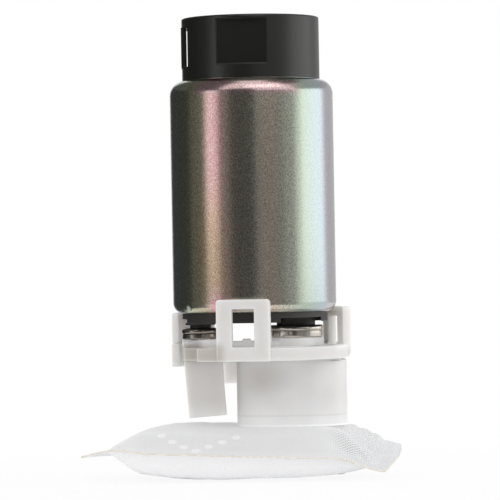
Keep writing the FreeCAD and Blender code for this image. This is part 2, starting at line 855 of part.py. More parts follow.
def brush_holder():
    body = new_body("brush_holder", z="cover_low", turn="cover_angle")
    turned(body, "plate", [
        ("0", "0"), ("holder_radius", "0"),
        ("holder_radius", "holder_plate"), ("0", "holder_plate"),
    ])
    raised(body, "hub", lambda sketch: circle(sketch, "0", "0", "bush_radius + holder_hub_wall"),
           "holder_plate", "holder_drop")
    for side, name in (("1", "right"), ("-1", "left")):
        raised(body, f"{name}_tube", lambda sketch: holder_tube(sketch, side),
               "0 - brush_tube_drop", "holder_drop")
        raised(body, f"{name}_bore", lambda sketch: holder_bore(sketch, side),
               "0 - brush_tube_drop", "holder_drop", cut=True)
    raised(body, "bush_bore", lambda sketch: circle(sketch, "0", "0", "bush_radius"),
           "0", "holder_drop - 2 * holder_hub_wall", cut=True)
    for name, y in (("front", "0 - flow_hole_distance"), ("rear", "flow_hole_distance")):
        raised(body, f"{name}_flow_hole", lambda sketch: circle(sketch, "0", y, "flow_hole_radius"),
               "0", "holder_plate", cut=True)


def brushes():
    for number, side in ((1, "1"), (2, "-1")):
        body = new_body(f"brush_{number}", z="brush_low", turn="cover_angle")
        middle = f"{side} * brush_distance"
        raised(body, "block", lambda sketch: rectangle(
            sketch, f"{middle} - brush_length / 2", f"{middle} + brush_length / 2",
            "0 - brush_width / 2", "brush_width / 2"), "0", "brush_height")
        coil_spring(f"brush_spring_{number}", "brush_spring_radius", "spring_wire", "spring_turn_count",
                    "brush_top + brush_contact_gap", "cover_low + holder_drop - seat_gap",
                    turned_x(middle, "0"), turned_y(middle, "0"))


def chokes():
    for number, side in ((1, "1"), (2, "-1")):
        label = f"choke_{number}"
        height = "(holder_drop - holder_plate)"
        rod = cylinder(label + "_rod", "choke_core_radius", height)
        coil = cylinder(label + "_coil", "choke_coil_radius", f"{height} - 2 * choke_end", z="choke_end")
        x = f"{side} * choke_x"
        place(node(joined(label, [rod, coil]), label), turned_x(x, "choke_y"),
              turned_y(x, "choke_y"), "cover_low + holder_plate")


# Outlet cover: the black moulding on top


def outlet_cover():
    body = new_body("outlet_cover", z="can_top", turn="cover_angle")
    flange_bend = "(top_bend - can_wall - seat_gap)"
    turned(body, "shell", [
        ("0", "cover_ceiling"),
        ("inner_radius - cover_flange_wall", "cover_ceiling"),
        ("inner_radius - cover_flange_wall", "0 - cover_flange_drop"),
        ("inner_radius", "0 - cover_flange_drop"),
        ("inner_radius", "0 - top_bend"),
        ("top_bend_centre", "0 - can_wall - seat_gap"),
        ("cover_radius", "0 - can_wall - seat_gap"),
        ("cover_radius", "cover_height - rim_round"),
        ("cover_radius - rim_round", "cover_height"),
        ("cover_bore + rim_round", "cover_height"),
        ("cover_bore", "cover_height - rim_round"),
        ("cover_bore", "deck_level"),
        ("0", "deck_level"),
    ], {4: (flange_bend, 1), 7: ("rim_round", 1), 9: ("rim_round", 1)})
    # Walls that stand behind the two outer recesses
    raised(body, "key_backing", lambda sketch: rectangle(
        sketch, "0 - tower_width / 2", "tower_width / 2",
        "0 - key_flat_distance", "0 - key_flat_distance + backing_wall"),
        "deck_level", "cover_height - rim_round")
    raised(body, "strap_backing", lambda sketch: rectangle(
        sketch, "0 - strap_flat_distance", "0 - strap_flat_distance + backing_wall",
        "0 - strap_window_width / 2", "strap_window_width / 2"),
        "deck_level", "strap_low + strap_window + 2 * strap_root", turn="strap_angle")
    # Connector tower
    raised(body, "tower", lambda sketch: rectangle(
        sketch, "0 - tower_width / 2", "tower_width / 2",
        "0 - key_flat_distance", "tower_back_y"), "deck_level", "deck_level + tower_height")
    raised(body, "socket", lambda sketch: rounded(
        sketch, "0 - socket_width / 2", "socket_width / 2", "socket_front_y", "socket_back_y",
        "socket_corner"), "deck_level - socket_sink", "deck_level + tower_height", cut=True)
    for side in ("1", "-1"):
        middle = f"{side} * blade_spacing / 2"
        raised(body, f"blade_slot_{'right' if side == '1' else 'left'}", lambda sketch: rectangle(
            sketch, f"{middle} - blade_width / 2 - blade_slot_gap",
            f"{middle} + blade_width / 2 + blade_slot_gap",
            "blade_y - blade_thickness / 2 - blade_slot_gap",
            "blade_y + blade_thickness / 2 + blade_slot_gap"),
            "cover_ceiling", "deck_level", cut=True)
    # Outer recesses: the keyway at the front and the strap's flat at the side
    raised(body, "keyway", lambda sketch: rectangle(
        sketch, "0 - key_flat_width / 2", "key_flat_width / 2",
        "0 - cover_radius - overshoot", "0 - key_flat_distance"),
        "key_flat_level", "cover_height - key_flat_rim", cut=True)
    raised(body, "strap_flat", lambda sketch: rectangle(
        sketch, "0 - cover_radius - overshoot", "0 - strap_flat_distance",
        "0 - cover_radius / 2", "cover_radius / 2"),
        "strap_low", "strap_low + strap_window", turn="strap_angle", cut=True)
    raised(body, "strap", lambda sketch: rectangle(
        sketch, "0 - strap_flat_distance - strap_gap - strap_thickness",
        "0 - strap_flat_distance - strap_gap", "0 - strap_width / 2", "strap_width / 2"),
        "strap_low - strap_root", "strap_low + strap_window + strap_root", turn="strap_angle")
    # Outlet spigot, open into the chamber of the check valve
    raised(body, "valve_boss", lambda sketch: circle(
        sketch, "spigot_x", "spigot_y", "valve_chamber_radius + valve_boss_wall"),
        "0 - valve_chamber_drop", "cover_ceiling")
    raised(body, "spigot_shoulder", lambda sketch: circle(
        sketch, "spigot_x", "spigot_y", "spigot_shoulder_radius"),
        "deck_level", "deck_level + spigot_shoulder_height")
    raised(body, "spigot_root", lambda sketch: circle(
        sketch, "spigot_x", "spigot_y", "spigot_radius + spigot_root_reach"),
        "deck_level + spigot_shoulder_height", "spigot_base")
    raised(body, "spigot", lambda sketch: circle(sketch, "spigot_x", "spigot_y", "spigot_radius"),
           "spigot_base", "spigot_top - spigot_tip")
    raised(body, "spigot_tip_ring", lambda sketch: circle(
        sketch, "spigot_x", "spigot_y", "spigot_radius - spigot_tip"),
        "spigot_top - spigot_tip", "spigot_top")
    raised(body, "spigot_bore", lambda sketch: circle(
        sketch, "spigot_x", "spigot_y", "spigot_bore_radius"),
        "0 - valve_chamber_drop", "spigot_top", cut=True)
    raised(body, "valve_chamber", lambda sketch: circle(
        sketch, "spigot_x", "spigot_y", "valve_chamber_radius"),
        "0 - valve_chamber_drop", "valve_chamber_top", cut=True)
    # Relief valve port
    raised(body, "relief_boss", lambda sketch: circle(
        sketch, "relief_x", "relief_y", "relief_boss_radius"), "0 - relief_boss_drop", "relief_top")
    raised(body, "relief_bore", lambda sketch: circle(
        sketch, "relief_x", "relief_y", "relief_bore_radius"),
        "relief_floor", "relief_top", cut=True)
    raised(body, "relief_port", lambda sketch: circle(
        sketch, "relief_x", "relief_y", "relief_port_radius"),
        "0 - relief_boss_drop", "relief_floor", cut=True)


def terminals():
    for number, side in ((1, "1"), (2, "-1")):
        body = new_body(f"terminal_{number}", z="can_top", turn="cover_angle")
        middle = f"{side} * blade_spacing / 2"
        raised(body, "blade", lambda sketch: rectangle(
            sketch, f"{middle} - blade_width / 2", f"{middle} + blade_width / 2",
            "blade_y - blade_thickness / 2", "blade_y + blade_thickness / 2"),
            "0 - blade_drop", "deck_level + blade_rise")


def outlet_seal():
    ring = document.addObject("Part::Torus", "outlet_seal")
    bind(ring, Radius1="spigot_radius + spigot_root_reach + seal_wire_radius + seat_gap",
         Radius2="seal_wire_radius")
    place(node(ring, "outlet_seal"), turned_x("spigot_x", "spigot_y"),
          turned_y("spigot_x", "spigot_y"),
          "can_top + deck_level + spigot_shoulder_height + seal_wire_radius")


def check_valve():
    x = turned_x("spigot_x", "spigot_y")
    y = turned_y("spigot_x", "spigot_y")
    ring = cylinder("check_seat_ring", "valve_chamber_radius - seat_gap", "valve_seat_height")
    hole = cylinder("check_seat_hole", "valve_seat_bore", "valve_seat_height + 2 * overshoot",
                    z="0 - overshoot")
    place(node(minus("check_seat", ring, hole), "check_seat"), x, y, "can_top - valve_chamber_drop")
    head = cylinder("check_valve_head", "valve_head_radius", "valve_head_height")
    stem = cylinder("check_valve_stem", "valve_stem_radius", "valve_stem_length", z="valve_head_height")
    place(node(joined("check_valve", [head, stem]), "check_valve"), x, y,
          "can_top + valve_seat_top + valve_lift_gap")
    # The spring stands on the valve's head and ends under the step of the spigot's narrower bore
    coil_spring("check_spring", "check_spring_radius", "spring_wire", "spring_turn_count",
                "can_top + valve_seat_top + valve_lift_gap + valve_head_height + seat_gap",
                "can_top + valve_chamber_top - seat_gap", x, y)


def relief_valve():
    x = turned_x("relief_x", "relief_y")
    y = turned_y("relief_x", "relief_y")
    ball = document.addObject("Part::Sphere", "relief_ball")
    bind(ball, Radius="relief_ball_radius")
    place(node(ball, "relief_ball"), x, y, "can_top + ball_centre")
    plug = cylinder("relief_plug_disc", "relief_bore_radius - seat_gap", "relief_plug_height")
    hole = cylinder("relief_plug_port", "relief_plug_hole", "relief_plug_height + 2 * overshoot",
                    z="0 - overshoot")
    place(node(minus("relief_plug", plug, hole), "relief_plug"), x, y,
          "can_top + relief_top - relief_plug_height")
    coil_spring("relief_spring", "relief_spring_radius", "spring_wire", "spring_turn_count",
                "can_top + ball_centre + relief_ball_radius + seat_gap",
                "can_top + relief_top - relief_plug_height - seat_gap", x, y)


# Polished collars on the two sockets, and the rubber grommet


def steel_collar(label, hole, radius, height, x, y):
    """A pressed collar: a cup with a rounded edge, upside down, and a hole in its bottom."""
    body = new_body(label, x, y, "socket_top")
    turned(body, "ring", [
        (f"{hole} + collar_lip", "0"),
        (f"{radius} - collar_foot", "0"),
        (radius, "collar_foot"),
        (radius, f"{height} - collar_round"),
        (f"{radius} - collar_round", height),
        (hole, height),
        (hole, f"{height} - collar_lip"),
        (f"{hole} + collar_lip", f"{height} - collar_lip"),
    ], {1: ("collar_foot", 1), 3: ("collar_round", 1)})


def collars():
    steel_collar("inlet_collar", "(nipple_radius + collar_gap)", "collar_radius", "collar_height",
                 "inlet_x", "0")
    steel_collar("pin_collar", "(pin_radius + collar_gap)", "pin_collar_radius", "pin_collar_height",
                 "pin_x", "pin_y")


def inlet_seal():
    body = new_body("inlet_seal", "inlet_x", "0", "neck_top - neck_roof")
    inner = "nipple_radius + grommet_gap"
    outer = "socket_bore - grommet_gap"
    top = "socket_top - neck_top + neck_roof"
    turned(body, "sleeve", [
        (inner, "0 - grommet_flange"), (f"{outer} + grommet_flange_reach", "0 - grommet_flange"),
        (f"{outer} + grommet_flange_reach", "0"), (outer, "0"),
        (outer, top), (inner, top),
    ])


# Strainer frame: one white moulding


def loop(name, angle, drop, rise, corner=None):
    """A clip-on loop: a flat plate tangent to the ring. A corner rounds its foot."""
    plate = document.addObject("PartDesign::Body", name)
    place(plate, z=f"ring_low - ({drop})", turn=angle)
    sketch = new_sketch(plate, name + "_plan", "XZ_Plane", "loop_inner")
    half = "(loop_width / 2)"
    top = f"({drop}) + ({rise})"
    head = [(half, f"{top} - loop_round"), (f"{half} - loop_round", top),
            (f"loop_round - {half}", top), (f"0 - {half}", f"{top} - loop_round")]
    if corner is None:
        corners = [(f"0 - {half}", "0"), (half, "0")] + head
    else:
        corners = [(f"{corner} - {half}", "0"), (f"{half} - {corner}", "0"), (half, corner)]
        corners += head + [(f"0 - {half}", corner)]
    first = corners.index(head[0])
    arcs = {first: ("loop_round", 1), first + 2: ("loop_round", 1)}
    if corner is not None:
        arcs[1] = (corner, 1)
        arcs[len(corners) - 1] = (corner, 1)
    outline(sketch, corners, arcs)
    feature = plate.newObject("PartDesign::Pad", name + "_plate")
    feature.Profile = sketch
    bind(feature, Length="loop_thickness")
    return plate


def loop_opening(name, angle, low, height):
    """The window of a loop. It goes through the ring behind the loop as well."""
    left = "0 - loop_window / 2"
    front = "0 - loop_inner - loop_thickness - overshoot"
    return box(name + "_window", "loop_window", "loop_thickness + 2 * overshoot", height,
               turned_x(left, front, angle), turned_y(left, front, angle),
               f"ring_low + {low}", angle)


def neck_block(name, margin, low, high, corner):
    """A block with round corners, centred on the neck and smaller than it by a margin."""
    width = f"(neck_width - 2 * {margin})"
    depth = f"(neck_depth - 2 * {margin})"
    height = f"({high}) - ({low})"
    rounds = []
    for side_x in ("-1", "1"):
        for side_y in ("-1", "1"):
            rounds.append(cylinder(f"{name}_corner_{len(rounds)}", corner, height,
                                   f"neck_x + {side_x} * ({width} / 2 - {corner})",
                                   f"{side_y} * ({depth} / 2 - {corner})", low))
    long = box(f"{name}_long", width, f"{depth} - 2 * {corner}", height,
               f"neck_x - {width} / 2", f"0 - {depth} / 2 + {corner}", low)
    deep = box(f"{name}_deep", f"{width} - 2 * {corner}", depth, height,
               f"neck_x - {width} / 2 + {corner}", f"0 - {depth} / 2", low)
    return joined(name, rounds + [long, deep])


def strainer_frame():
    ring = sector("ring", "ring_inner_radius", "ring_radius", "ring_low", "ring_top",
                  "ring_start_angle", "ring_end_angle - ring_start_angle")
    rear = sector("rear_ring", "ring_inner_radius", "ring_radius", "ring_low - rear_ring_drop",
                  "ring_top + rear_ring_rise", "rear_ring_start_angle",
                  "ring_end_angle - rear_ring_start_angle")
    tab = sector("rear_tab", "ring_inner_radius", "ring_radius", "ring_low - tab_drop", "ring_top",
                 "tab_start_angle", "tab_end_angle - tab_start_angle")
    loops = [
        loop("front_loop", "front_loop_angle", "0", "front_loop_rise"),
        loop("right_loop", "right_loop_angle", "right_loop_drop", "right_loop_rise", "loop_corner"),
        loop("left_loop", "left_loop_angle", "left_loop_drop", "left_loop_rise", "loop_corner"),
    ]
    windows = [
        loop_opening("front_loop", "front_loop_angle", "front_window_low", "front_window_height"),
        loop_opening("right_loop", "right_loop_angle", "right_window_low", "right_window_height"),
        loop_opening("left_loop", "left_loop_angle", "left_window_low", "left_window_height"),
    ]
    deck = box("deck", "ring_radius - deck_left_x", "deck_depth", "ring_height",
               "deck_left_x", "0 - deck_depth / 2", "ring_low")
    arm = box("deck_arm", "deck_arm_width", "ring_radius", "ring_height",
              "neck_x - deck_arm_width / 2", "0", "ring_low")
    round_edge = cylinder("deck_limit", "ring_inner_radius + ring_wall / 2",
                          "ring_height + 2 * overshoot", z="ring_low - overshoot")
    inner_deck = document.addObject("Part::Common", "inner_deck")
    inner_deck.Base = joined("deck_and_arm", [deck, arm])
    inner_deck.Tool = round_edge
    web = box("web", "inlet_x - pin_x", "web_depth", "web_rise",
              "pin_x", "pin_y - web_depth / 2", "ring_top")
    web_step = box("web_step", "web_step_width", "web_depth", "web_rise + web_step_rise",
                   "web_step_x", "pin_y - web_depth / 2", "ring_top")
    neck = neck_block("neck", "0", "sock_height", "neck_top", "neck_corner")
    neck_joint = neck_block("neck_joint", "neck_joint_inset", "neck_top", "ring_low",
                            "(neck_corner - neck_joint_inset)")
    inlet_socket = cylinder("inlet_socket", "collar_radius", "socket_top - ring_low",
                            "inlet_x", "0", "ring_low")
    pin_socket = cylinder("pin_socket", "pin_socket_radius", "socket_top - ring_low",
                          "pin_x", "pin_y", "ring_low")
    leg = box("leg", "leg_width", "leg_thickness", "leg_length")
    leg.setExpression("Placement.Base.x", bound("leg_top_x + leg_length * sin(leg_lean_angle)"))
    leg.setExpression("Placement.Base.y", bound("pin_y - pin_socket_radius"))
    leg.setExpression("Placement.Base.z", bound("ring_top + web_rise - leg_length * cos(leg_lean_angle)"))
    leg.Placement.Rotation = FreeCAD.Rotation(FreeCAD.Vector(0, 1, 0), 1)
    leg.setExpression("Placement.Rotation.Angle", bound("0 - leg_lean_angle"))
    solid = joined("frame_solid", [ring, rear, tab] + loops + [
        inner_deck, web, web_step, neck, neck_joint, inlet_socket, pin_socket, leg])
    chamber = neck_block("chamber", "neck_wall", "sock_height + neck_floor",
                         "neck_top - neck_roof", "(neck_corner - neck_wall)")
    mouth = cylinder("mouth", "neck_mouth_radius", "neck_floor + 2 * overshoot", "neck_x", "0",
                     "sock_height - overshoot")
    grommet_bore = cylinder("grommet_bore", "socket_bore",
                            "socket_top - neck_top + neck_roof + 2 * overshoot",
                            "inlet_x", "0", "neck_top - neck_roof - overshoot")
    pin_bore = cylinder("pin_bore", "pin_radius + collar_gap", "pin_socket_depth + overshoot",
                        "pin_x", "pin_y", "socket_top - pin_socket_depth")
    slit = box("neck_slit", "neck_slit_depth + overshoot", "neck_depth", "neck_joint_height",
               "neck_x + neck_width / 2 - neck_slit_depth", "0 - neck_depth / 2", "neck_top")
    openings = joined("frame_openings", windows + [chamber, mouth, grommet_bore, pin_bore, slit])
    node(minus("strainer_frame", solid, openings), "strainer_frame")


# Filter sock and the spreader that keeps it open


def sock_plan(sketch, level, wall="0"):
    """The sock's plan at its seam, waist, foot or crown, drawn in by a wall."""
    left, right, side = ("0", "0", "0") if level == "seam" else (
        f"{level}_left", f"{level}_right", f"{level}_side")
    deep = f"(sock_depth / 2 - {side} - {wall})"
    rounded(sketch, f"(sock_left_x + {left} + {wall})", f"(sock_right_x - {right} - {wall})",
            f"0 - {deep}", deep, "sock_corner")


def sock_loft(body, name, low, low_level, high, high_level, wall="0"):
    """A ruled loft between two plans of the sock. With a wall it is cut away."""
    sketches = []
    for plan, level in ((low, low_level), (high, high_level)):
        sketch = new_sketch(body, f"{name}_{plan}", "XY_Plane", level)
        sock_plan(sketch, plan, wall)
        sketches.append(sketch)
    document.recompute()
    kind = "PartDesign::AdditiveLoft" if wall == "0" else "PartDesign::SubtractiveLoft"
    feature = body.newObject(kind, name)
    feature.Profile = sketches[0]
    feature.Sections = sketches[1:]
    feature.Ruled = True
    document.recompute()


def sock():
    body = new_body("sock")
    seam_high = "seam_level + seam_thickness"
    raised(body, "seam", lambda sketch: sock_plan(sketch, "seam"), "seam_level", seam_high)
    sock_loft(body, "underside", "foot", "0", "waist", "seam_level")
    sock_loft(body, "upper_side", "waist", seam_high, "crown", "sock_height")
    sock_loft(body, "lower_space", "foot", "sock_wall", "waist", seam_high, "sock_wall")
    sock_loft(body, "upper_space", "waist", "seam_level", "crown", "sock_height - sock_wall", "sock_wall")
    raised(body, "mouth", lambda sketch: circle(
        sketch, "neck_x", "0", "neck_mouth_radius"),
        "sock_height - 2 * sock_wall", "sock_height", cut=True)


def sock_spreader():
    collar_outer = "neck_mouth_radius - sock_mouth_gap"
    top_inside = "sock_height - sock_wall"
    flange_low = f"({top_inside} - spreader_flange_thickness)"
    collar = cylinder("spreader_collar", collar_outer,
                      f"sock_height + neck_floor - {flange_low}", "neck_x", "0", flange_low)
    flange = cylinder("spreader_flange", f"{collar_outer} + spreader_flange_reach",
                      "spreader_flange_thickness", "neck_x", "0", flange_low)
    pieces = [collar, flange]
    for side in ("-1", "1"):
        word = "front" if side == "-1" else "rear"
        middle = f"{side} * spreader_rail_spacing / 2"
        pieces.append(box(f"spreader_rail_{word}", "rail_right_x - rail_left_x",
                          "spreader_rail_width", "spreader_flange_thickness", "rail_left_x",
                          f"{middle} - spreader_rail_width / 2", flange_low))
        feet = ("rail_left_x + spreader_foot_inset",
                "rail_left_x + spreader_foot_inset + spreader_foot_spacing",
                "rail_right_x - spreader_foot_inset")
        for number, foot_x in enumerate(feet):
            pieces.append(cylinder(f"spreader_foot_{word}_{number}", "spreader_foot_radius",
                                   f"{flange_low} - sock_wall", foot_x, middle, "sock_wall"))
    for number in range(3):
        pieces.append(box(f"spreader_bar_{number}", "spreader_rail_width", "spreader_rail_spacing",
                          "spreader_flange_thickness",
                          f"rail_left_x + {number} * spreader_bar_spacing",
                          "0 - spreader_rail_spacing / 2", flange_low))
    bore = cylinder("spreader_bore", f"{collar_outer} - spreader_collar_wall",
                    "sock_height", "neck_x", "0", f"{flange_low} - overshoot")
    node(minus("sock_spreader", joined("spreader_solid", pieces), bore), "sock_spreader")


def check_document():
    """Stop if any object failed to compute, or a sub-part has no valid solid."""
    document.recompute()
    for thing in document.Objects:
        if "Invalid" in thing.State or "Error" in thing.State:
            raise RuntimeError(f"{thing.Label} did not compute: {thing.State}")
    for label, thing in nodes.items():
        if thing.Shape.isNull() or not thing.Shape.isValid() or not thing.Shape.Solids:
            raise RuntimeError(f"{label} has no valid solid")


def write_parts():
    os.makedirs("parts", exist_ok=True)
    for label, thing in nodes.items():
        thing.Shape.exportStep(f"parts/{label}.step")
        size = thing.Shape.BoundBox
        print(f"{label}: {len(thing.Shape.Solids)} solid, x {size.XMin:.2f} {size.XMax:.2f}, "
              f"y {size.YMin:.2f} {size.YMax:.2f}, z {size.ZMin:.2f} {size.ZMax:.2f}, "
              f"{thing.Shape.Volume:.1f} mm3")


housing()
inlet_cover()
pump_casing()
impeller()
bush("casing_bush", "stage_level + casing_ceiling", "(casing_roof + casing_hub_rise)")
thrust_pin()
shaft()
armature_core()
windings()
commutator()
magnets()
magnet_clips()
brush_holder()
bush("top_bush", "cover_low", "top_bush_height")
brushes()
chokes()
outlet_cover()
terminals()
outlet_seal()
check_valve()
relief_valve()
collars()
inlet_seal()
strainer_frame()
sock()
sock_spreader()
check_document()
write_parts()
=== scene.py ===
# %% [markdown]
# # An in-tank fuel pump, dressed for the camera
# The pump is a plated steel tube with a black cover rolled into its top and a dark cover
# rolled into its foot. A white clip-on frame hangs under it and carries a filter sock.
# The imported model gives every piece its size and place. This file gives each piece its
# finish, and makes finer meshes for the pieces that the eye meets first.

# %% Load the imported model
import json
import math

import bmesh
import bpy
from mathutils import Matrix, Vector, noise
from mathutils.bvhtree import BVHTree
from mathutils.kdtree import KDTree


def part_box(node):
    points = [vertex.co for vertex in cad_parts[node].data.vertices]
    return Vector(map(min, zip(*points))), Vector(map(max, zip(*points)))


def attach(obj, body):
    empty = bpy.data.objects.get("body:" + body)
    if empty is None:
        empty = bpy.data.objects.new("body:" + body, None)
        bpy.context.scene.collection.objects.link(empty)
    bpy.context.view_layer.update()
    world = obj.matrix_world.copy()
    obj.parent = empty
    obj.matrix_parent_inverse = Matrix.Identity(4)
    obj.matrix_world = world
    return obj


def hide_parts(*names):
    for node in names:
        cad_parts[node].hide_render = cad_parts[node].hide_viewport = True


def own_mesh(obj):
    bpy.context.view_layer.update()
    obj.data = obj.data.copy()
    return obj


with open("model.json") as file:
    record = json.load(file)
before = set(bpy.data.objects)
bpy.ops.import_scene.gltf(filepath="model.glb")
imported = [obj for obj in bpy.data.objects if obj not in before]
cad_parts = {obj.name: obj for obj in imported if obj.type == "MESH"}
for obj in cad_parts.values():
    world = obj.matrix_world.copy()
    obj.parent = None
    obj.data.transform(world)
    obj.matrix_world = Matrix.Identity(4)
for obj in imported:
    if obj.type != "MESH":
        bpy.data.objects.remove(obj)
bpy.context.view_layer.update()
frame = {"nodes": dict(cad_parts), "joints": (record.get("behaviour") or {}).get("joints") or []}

nodes = frame["nodes"]
MM = 0.001

# %% [markdown]
# ## Camera
# The distance is an estimate. The rims of the pump show as very flat ellipses, which fits a
# long lens about three quarters of a metre away, level with the middle of the pump. The pump
# leans a little to the left in the picture, and a small roll of the camera repeats that.

# %% Camera
image_size = 500
focal_pixels = 3303
camera_place = Vector((-0.9, -770, 53.1)) * MM
camera_roll = math.radians(1.0)

lens = bpy.data.cameras.new("camera")
lens.sensor_width = 36
lens.lens = focal_pixels / image_size * lens.sensor_width
lens.clip_start, lens.clip_end = 0.05, 10
camera = bpy.data.objects.new("camera", lens)
camera.location = camera_place
camera.rotation_euler = (math.radians(90), camera_roll, 0)
bpy.context.collection.objects.link(camera)
bpy.context.scene.camera = camera
bpy.context.scene.view_settings.view_transform = "Standard"
print("field of view:", round(math.degrees(lens.angle), 2), "degrees")

# %% [markdown]
# ## A small language for shader maths
# Wiring Math nodes one by one hides the idea behind a pattern. A thin class that wraps a
# socket lets an expression such as `1 - mask * 0.5` add its own Math nodes. Every other
# node comes from one method, which sets the node up first and then fills its sockets.

# %% Shader maths
class Signal:
    """The output socket of a node, ready for arithmetic."""

    def __init__(self, graph, socket):
        self.graph = graph
        self.socket = socket

    def maths(self, operation, *values):
        return self.graph.node("ShaderNodeMath", {"operation": operation}, dict(enumerate(values)))

    def __add__(self, other):
        return self.maths("ADD", self, other)

    def __radd__(self, other):
        return self.maths("ADD", other, self)

    def __sub__(self, other):
        return self.maths("SUBTRACT", self, other)

    def __rsub__(self, other):
        return self.maths("SUBTRACT", other, self)

    def __mul__(self, other):
        return self.maths("MULTIPLY", self, other)

    def __rmul__(self, other):
        return self.maths("MULTIPLY", other, self)

    def __truediv__(self, other):
        return self.maths("DIVIDE", self, other)

    def __pow__(self, other):
        return self.maths("POWER", self, other)

    def fade(self, start, end, low=0.0, high=1.0):
        """Goes smoothly from low to high while the value goes from start to end."""
        return self.graph.node("ShaderNodeMapRange", {"interpolation_type": "SMOOTHSTEP"}, {
            "Value": self, "From Min": start, "From Max": end, "To Min": low, "To Max": high})


class Graph:
    """A node tree that is written as expressions."""

    def __init__(self, tree):
        self.tree = tree
        tree.nodes.clear()

    def node(self, kind, settings=None, values=None, output=0):
        node = self.tree.nodes.new(kind)
        for name, setting in (settings or {}).items():
            if name == "stops":
                self.set_stops(node.color_ramp, setting)
            else:
                setattr(node, name, setting)
        for name, value in (values or {}).items():
            if isinstance(value, Signal):
                self.tree.links.new(value.socket, node.inputs[name])
            else:
                node.inputs[name].default_value = value
        return Signal(self, node.outputs[output]) if node.outputs else node

    def set_stops(self, ramp, stops):
        while len(ramp.elements) < len(stops):
            ramp.elements.new(1.0)
        for element, (position, tint) in zip(ramp.elements, stops):
            element.position = position
            element.color = (*tint, 1.0)

    def coordinates(self, kind="Object"):
        return self.node("ShaderNodeTexCoord", output=kind)

    def parts(self, vector):
        """The x, y and z of a vector."""
        split = self.node("ShaderNodeSeparateXYZ", values={0: vector})
        return [Signal(self, socket) for socket in split.socket.node.outputs]

    def noise(self, vector, size, detail=3.0, roughness=0.55):
        """Smooth noise from 0 to 1, whose lumps are about this many metres apart."""
        return self.node("ShaderNodeTexNoise", values={
            "Vector": vector, "Scale": 1 / size, "Detail": detail, "Roughness": roughness})

    def mix(self, factor, first, second, blend="MIX"):
        """Mixes two colours."""
        first, second = [(*c, 1.0) if isinstance(c, tuple) else c for c in (first, second)]
        return self.node("ShaderNodeMix", {"data_type": "RGBA", "blend_type": blend},
                         {0: factor, 6: first, 7: second}, output=2)

    def highest(self, first, *others):
        """The greatest of several values."""
        for other in others:
            first = self.node("ShaderNodeMath", {"operation": "MAXIMUM"}, {0: first, 1: other})
        return first

    def vector_maths(self, operation, first, second):
        return self.node("ShaderNodeVectorMath", {"operation": operation}, {0: first, 1: second})

    def length(self, vector):
        return self.node("ShaderNodeVectorMath", {"operation": "LENGTH"}, {0: vector}, output=1)

    def oval_distance(self, place, centre, stretch):
        """The distance from a point, with each axis stretched. A stretch of 0 ignores an axis."""
        offset = self.vector_maths("SUBTRACT", place, centre)
        return self.length(self.vector_maths("MULTIPLY", offset, stretch))

    def bump(self, height, distance, strength=1.0, normal=None):
        values = {"Height": height, "Distance": distance, "Strength": strength}
        if normal:
            values["Normal"] = normal
        return self.node("ShaderNodeBump", values=values)


class Finish(Graph):
    """A material with one Principled shader."""

    def __init__(self, name):
        self.material = bpy.data.materials.new(name)
        self.material.use_nodes = True
        super().__init__(self.material.node_tree)
        self.place = self.coordinates()

    def surface(self, **values):
        """Ends the material. Names of sockets are written with underscores."""
        named = {name.replace("_", " "): value for name, value in values.items()}
        for name, value in named.items():
            if isinstance(value, tuple) and len(value) == 3 and "Radius" not in name:
                named[name] = (*value, 1.0)
        shader = self.node("ShaderNodeBsdfPrincipled", values=named)
        self.node("ShaderNodeOutputMaterial", values={"Surface": shader})
        return self.material


def tint(red, green, blue):
    """A colour given as it shows on a screen, from 0 to 255."""
    return tuple((share / 12.92 if share <= 0.04045 else ((share + 0.055) / 1.055) ** 2.4)
                 for share in (red / 255, green / 255, blue / 255))


# %% [markdown]
# ## Floor and background
# The object stands on white with hardly a shadow. A white floor that only answers to light
# would turn grey near the horizon, so what the camera and the shiny pieces see of it far
# from the object is plain white. Near the object a small share of it is a matt surface, which
# keeps a faint soft shadow. The world is plain white and gives most of the light.

# %% Floor
floor_size = 3.0
shadow_near, shadow_far = 60 * MM, 150 * MM
white_share_near = 0.88

floor_mesh = bmesh.new()
bmesh.ops.create_grid(floor_mesh, x_segments=1, y_segments=1, size=floor_size / 2)
floor_data = bpy.data.meshes.new("floor")
floor_mesh.to_mesh(floor_data)
floor_mesh.free()
floor = bpy.data.objects.new("floor", floor_data)
bpy.context.collection.objects.link(floor)

floor_material = bpy.data.materials.new("white_paper")
floor_material.use_nodes = True
paper = Graph(floor_material.node_tree)
rays = paper.node("ShaderNodeLightPath").socket.node.outputs
seen = Signal(paper, rays["Is Camera Ray"]) + Signal(paper, rays["Is Glossy Ray"]) \
    + Signal(paper, rays["Is Transmission Ray"])
reach = paper.length(paper.coordinates())
white = paper.node("ShaderNodeEmission", values={"Color": (1, 1, 1, 1), "Strength": 1.0})
matt = paper.node("ShaderNodeBsdfDiffuse", values={"Color": (0.92, 0.92, 0.92, 1)})
mixed = paper.node("ShaderNodeMixShader", values={
    0: seen * reach.fade(shadow_near, shadow_far, white_share_near, 1.0), 1: matt, 2: white})
paper.node("ShaderNodeOutputMaterial", values={"Surface": mixed})
floor_data.materials.append(floor_material)

# %% World
ambient_level = 1.0
world = bpy.data.worlds.new("studio")
bpy.context.scene.world = world
world.use_nodes = True
air = Graph(world.node_tree)
glow = air.node("ShaderNodeBackground", values={"Color": (1, 1, 1, 1), "Strength": ambient_level})
air.node("ShaderNodeOutputWorld", values={"Surface": glow})
print("ambient light:", ambient_level)

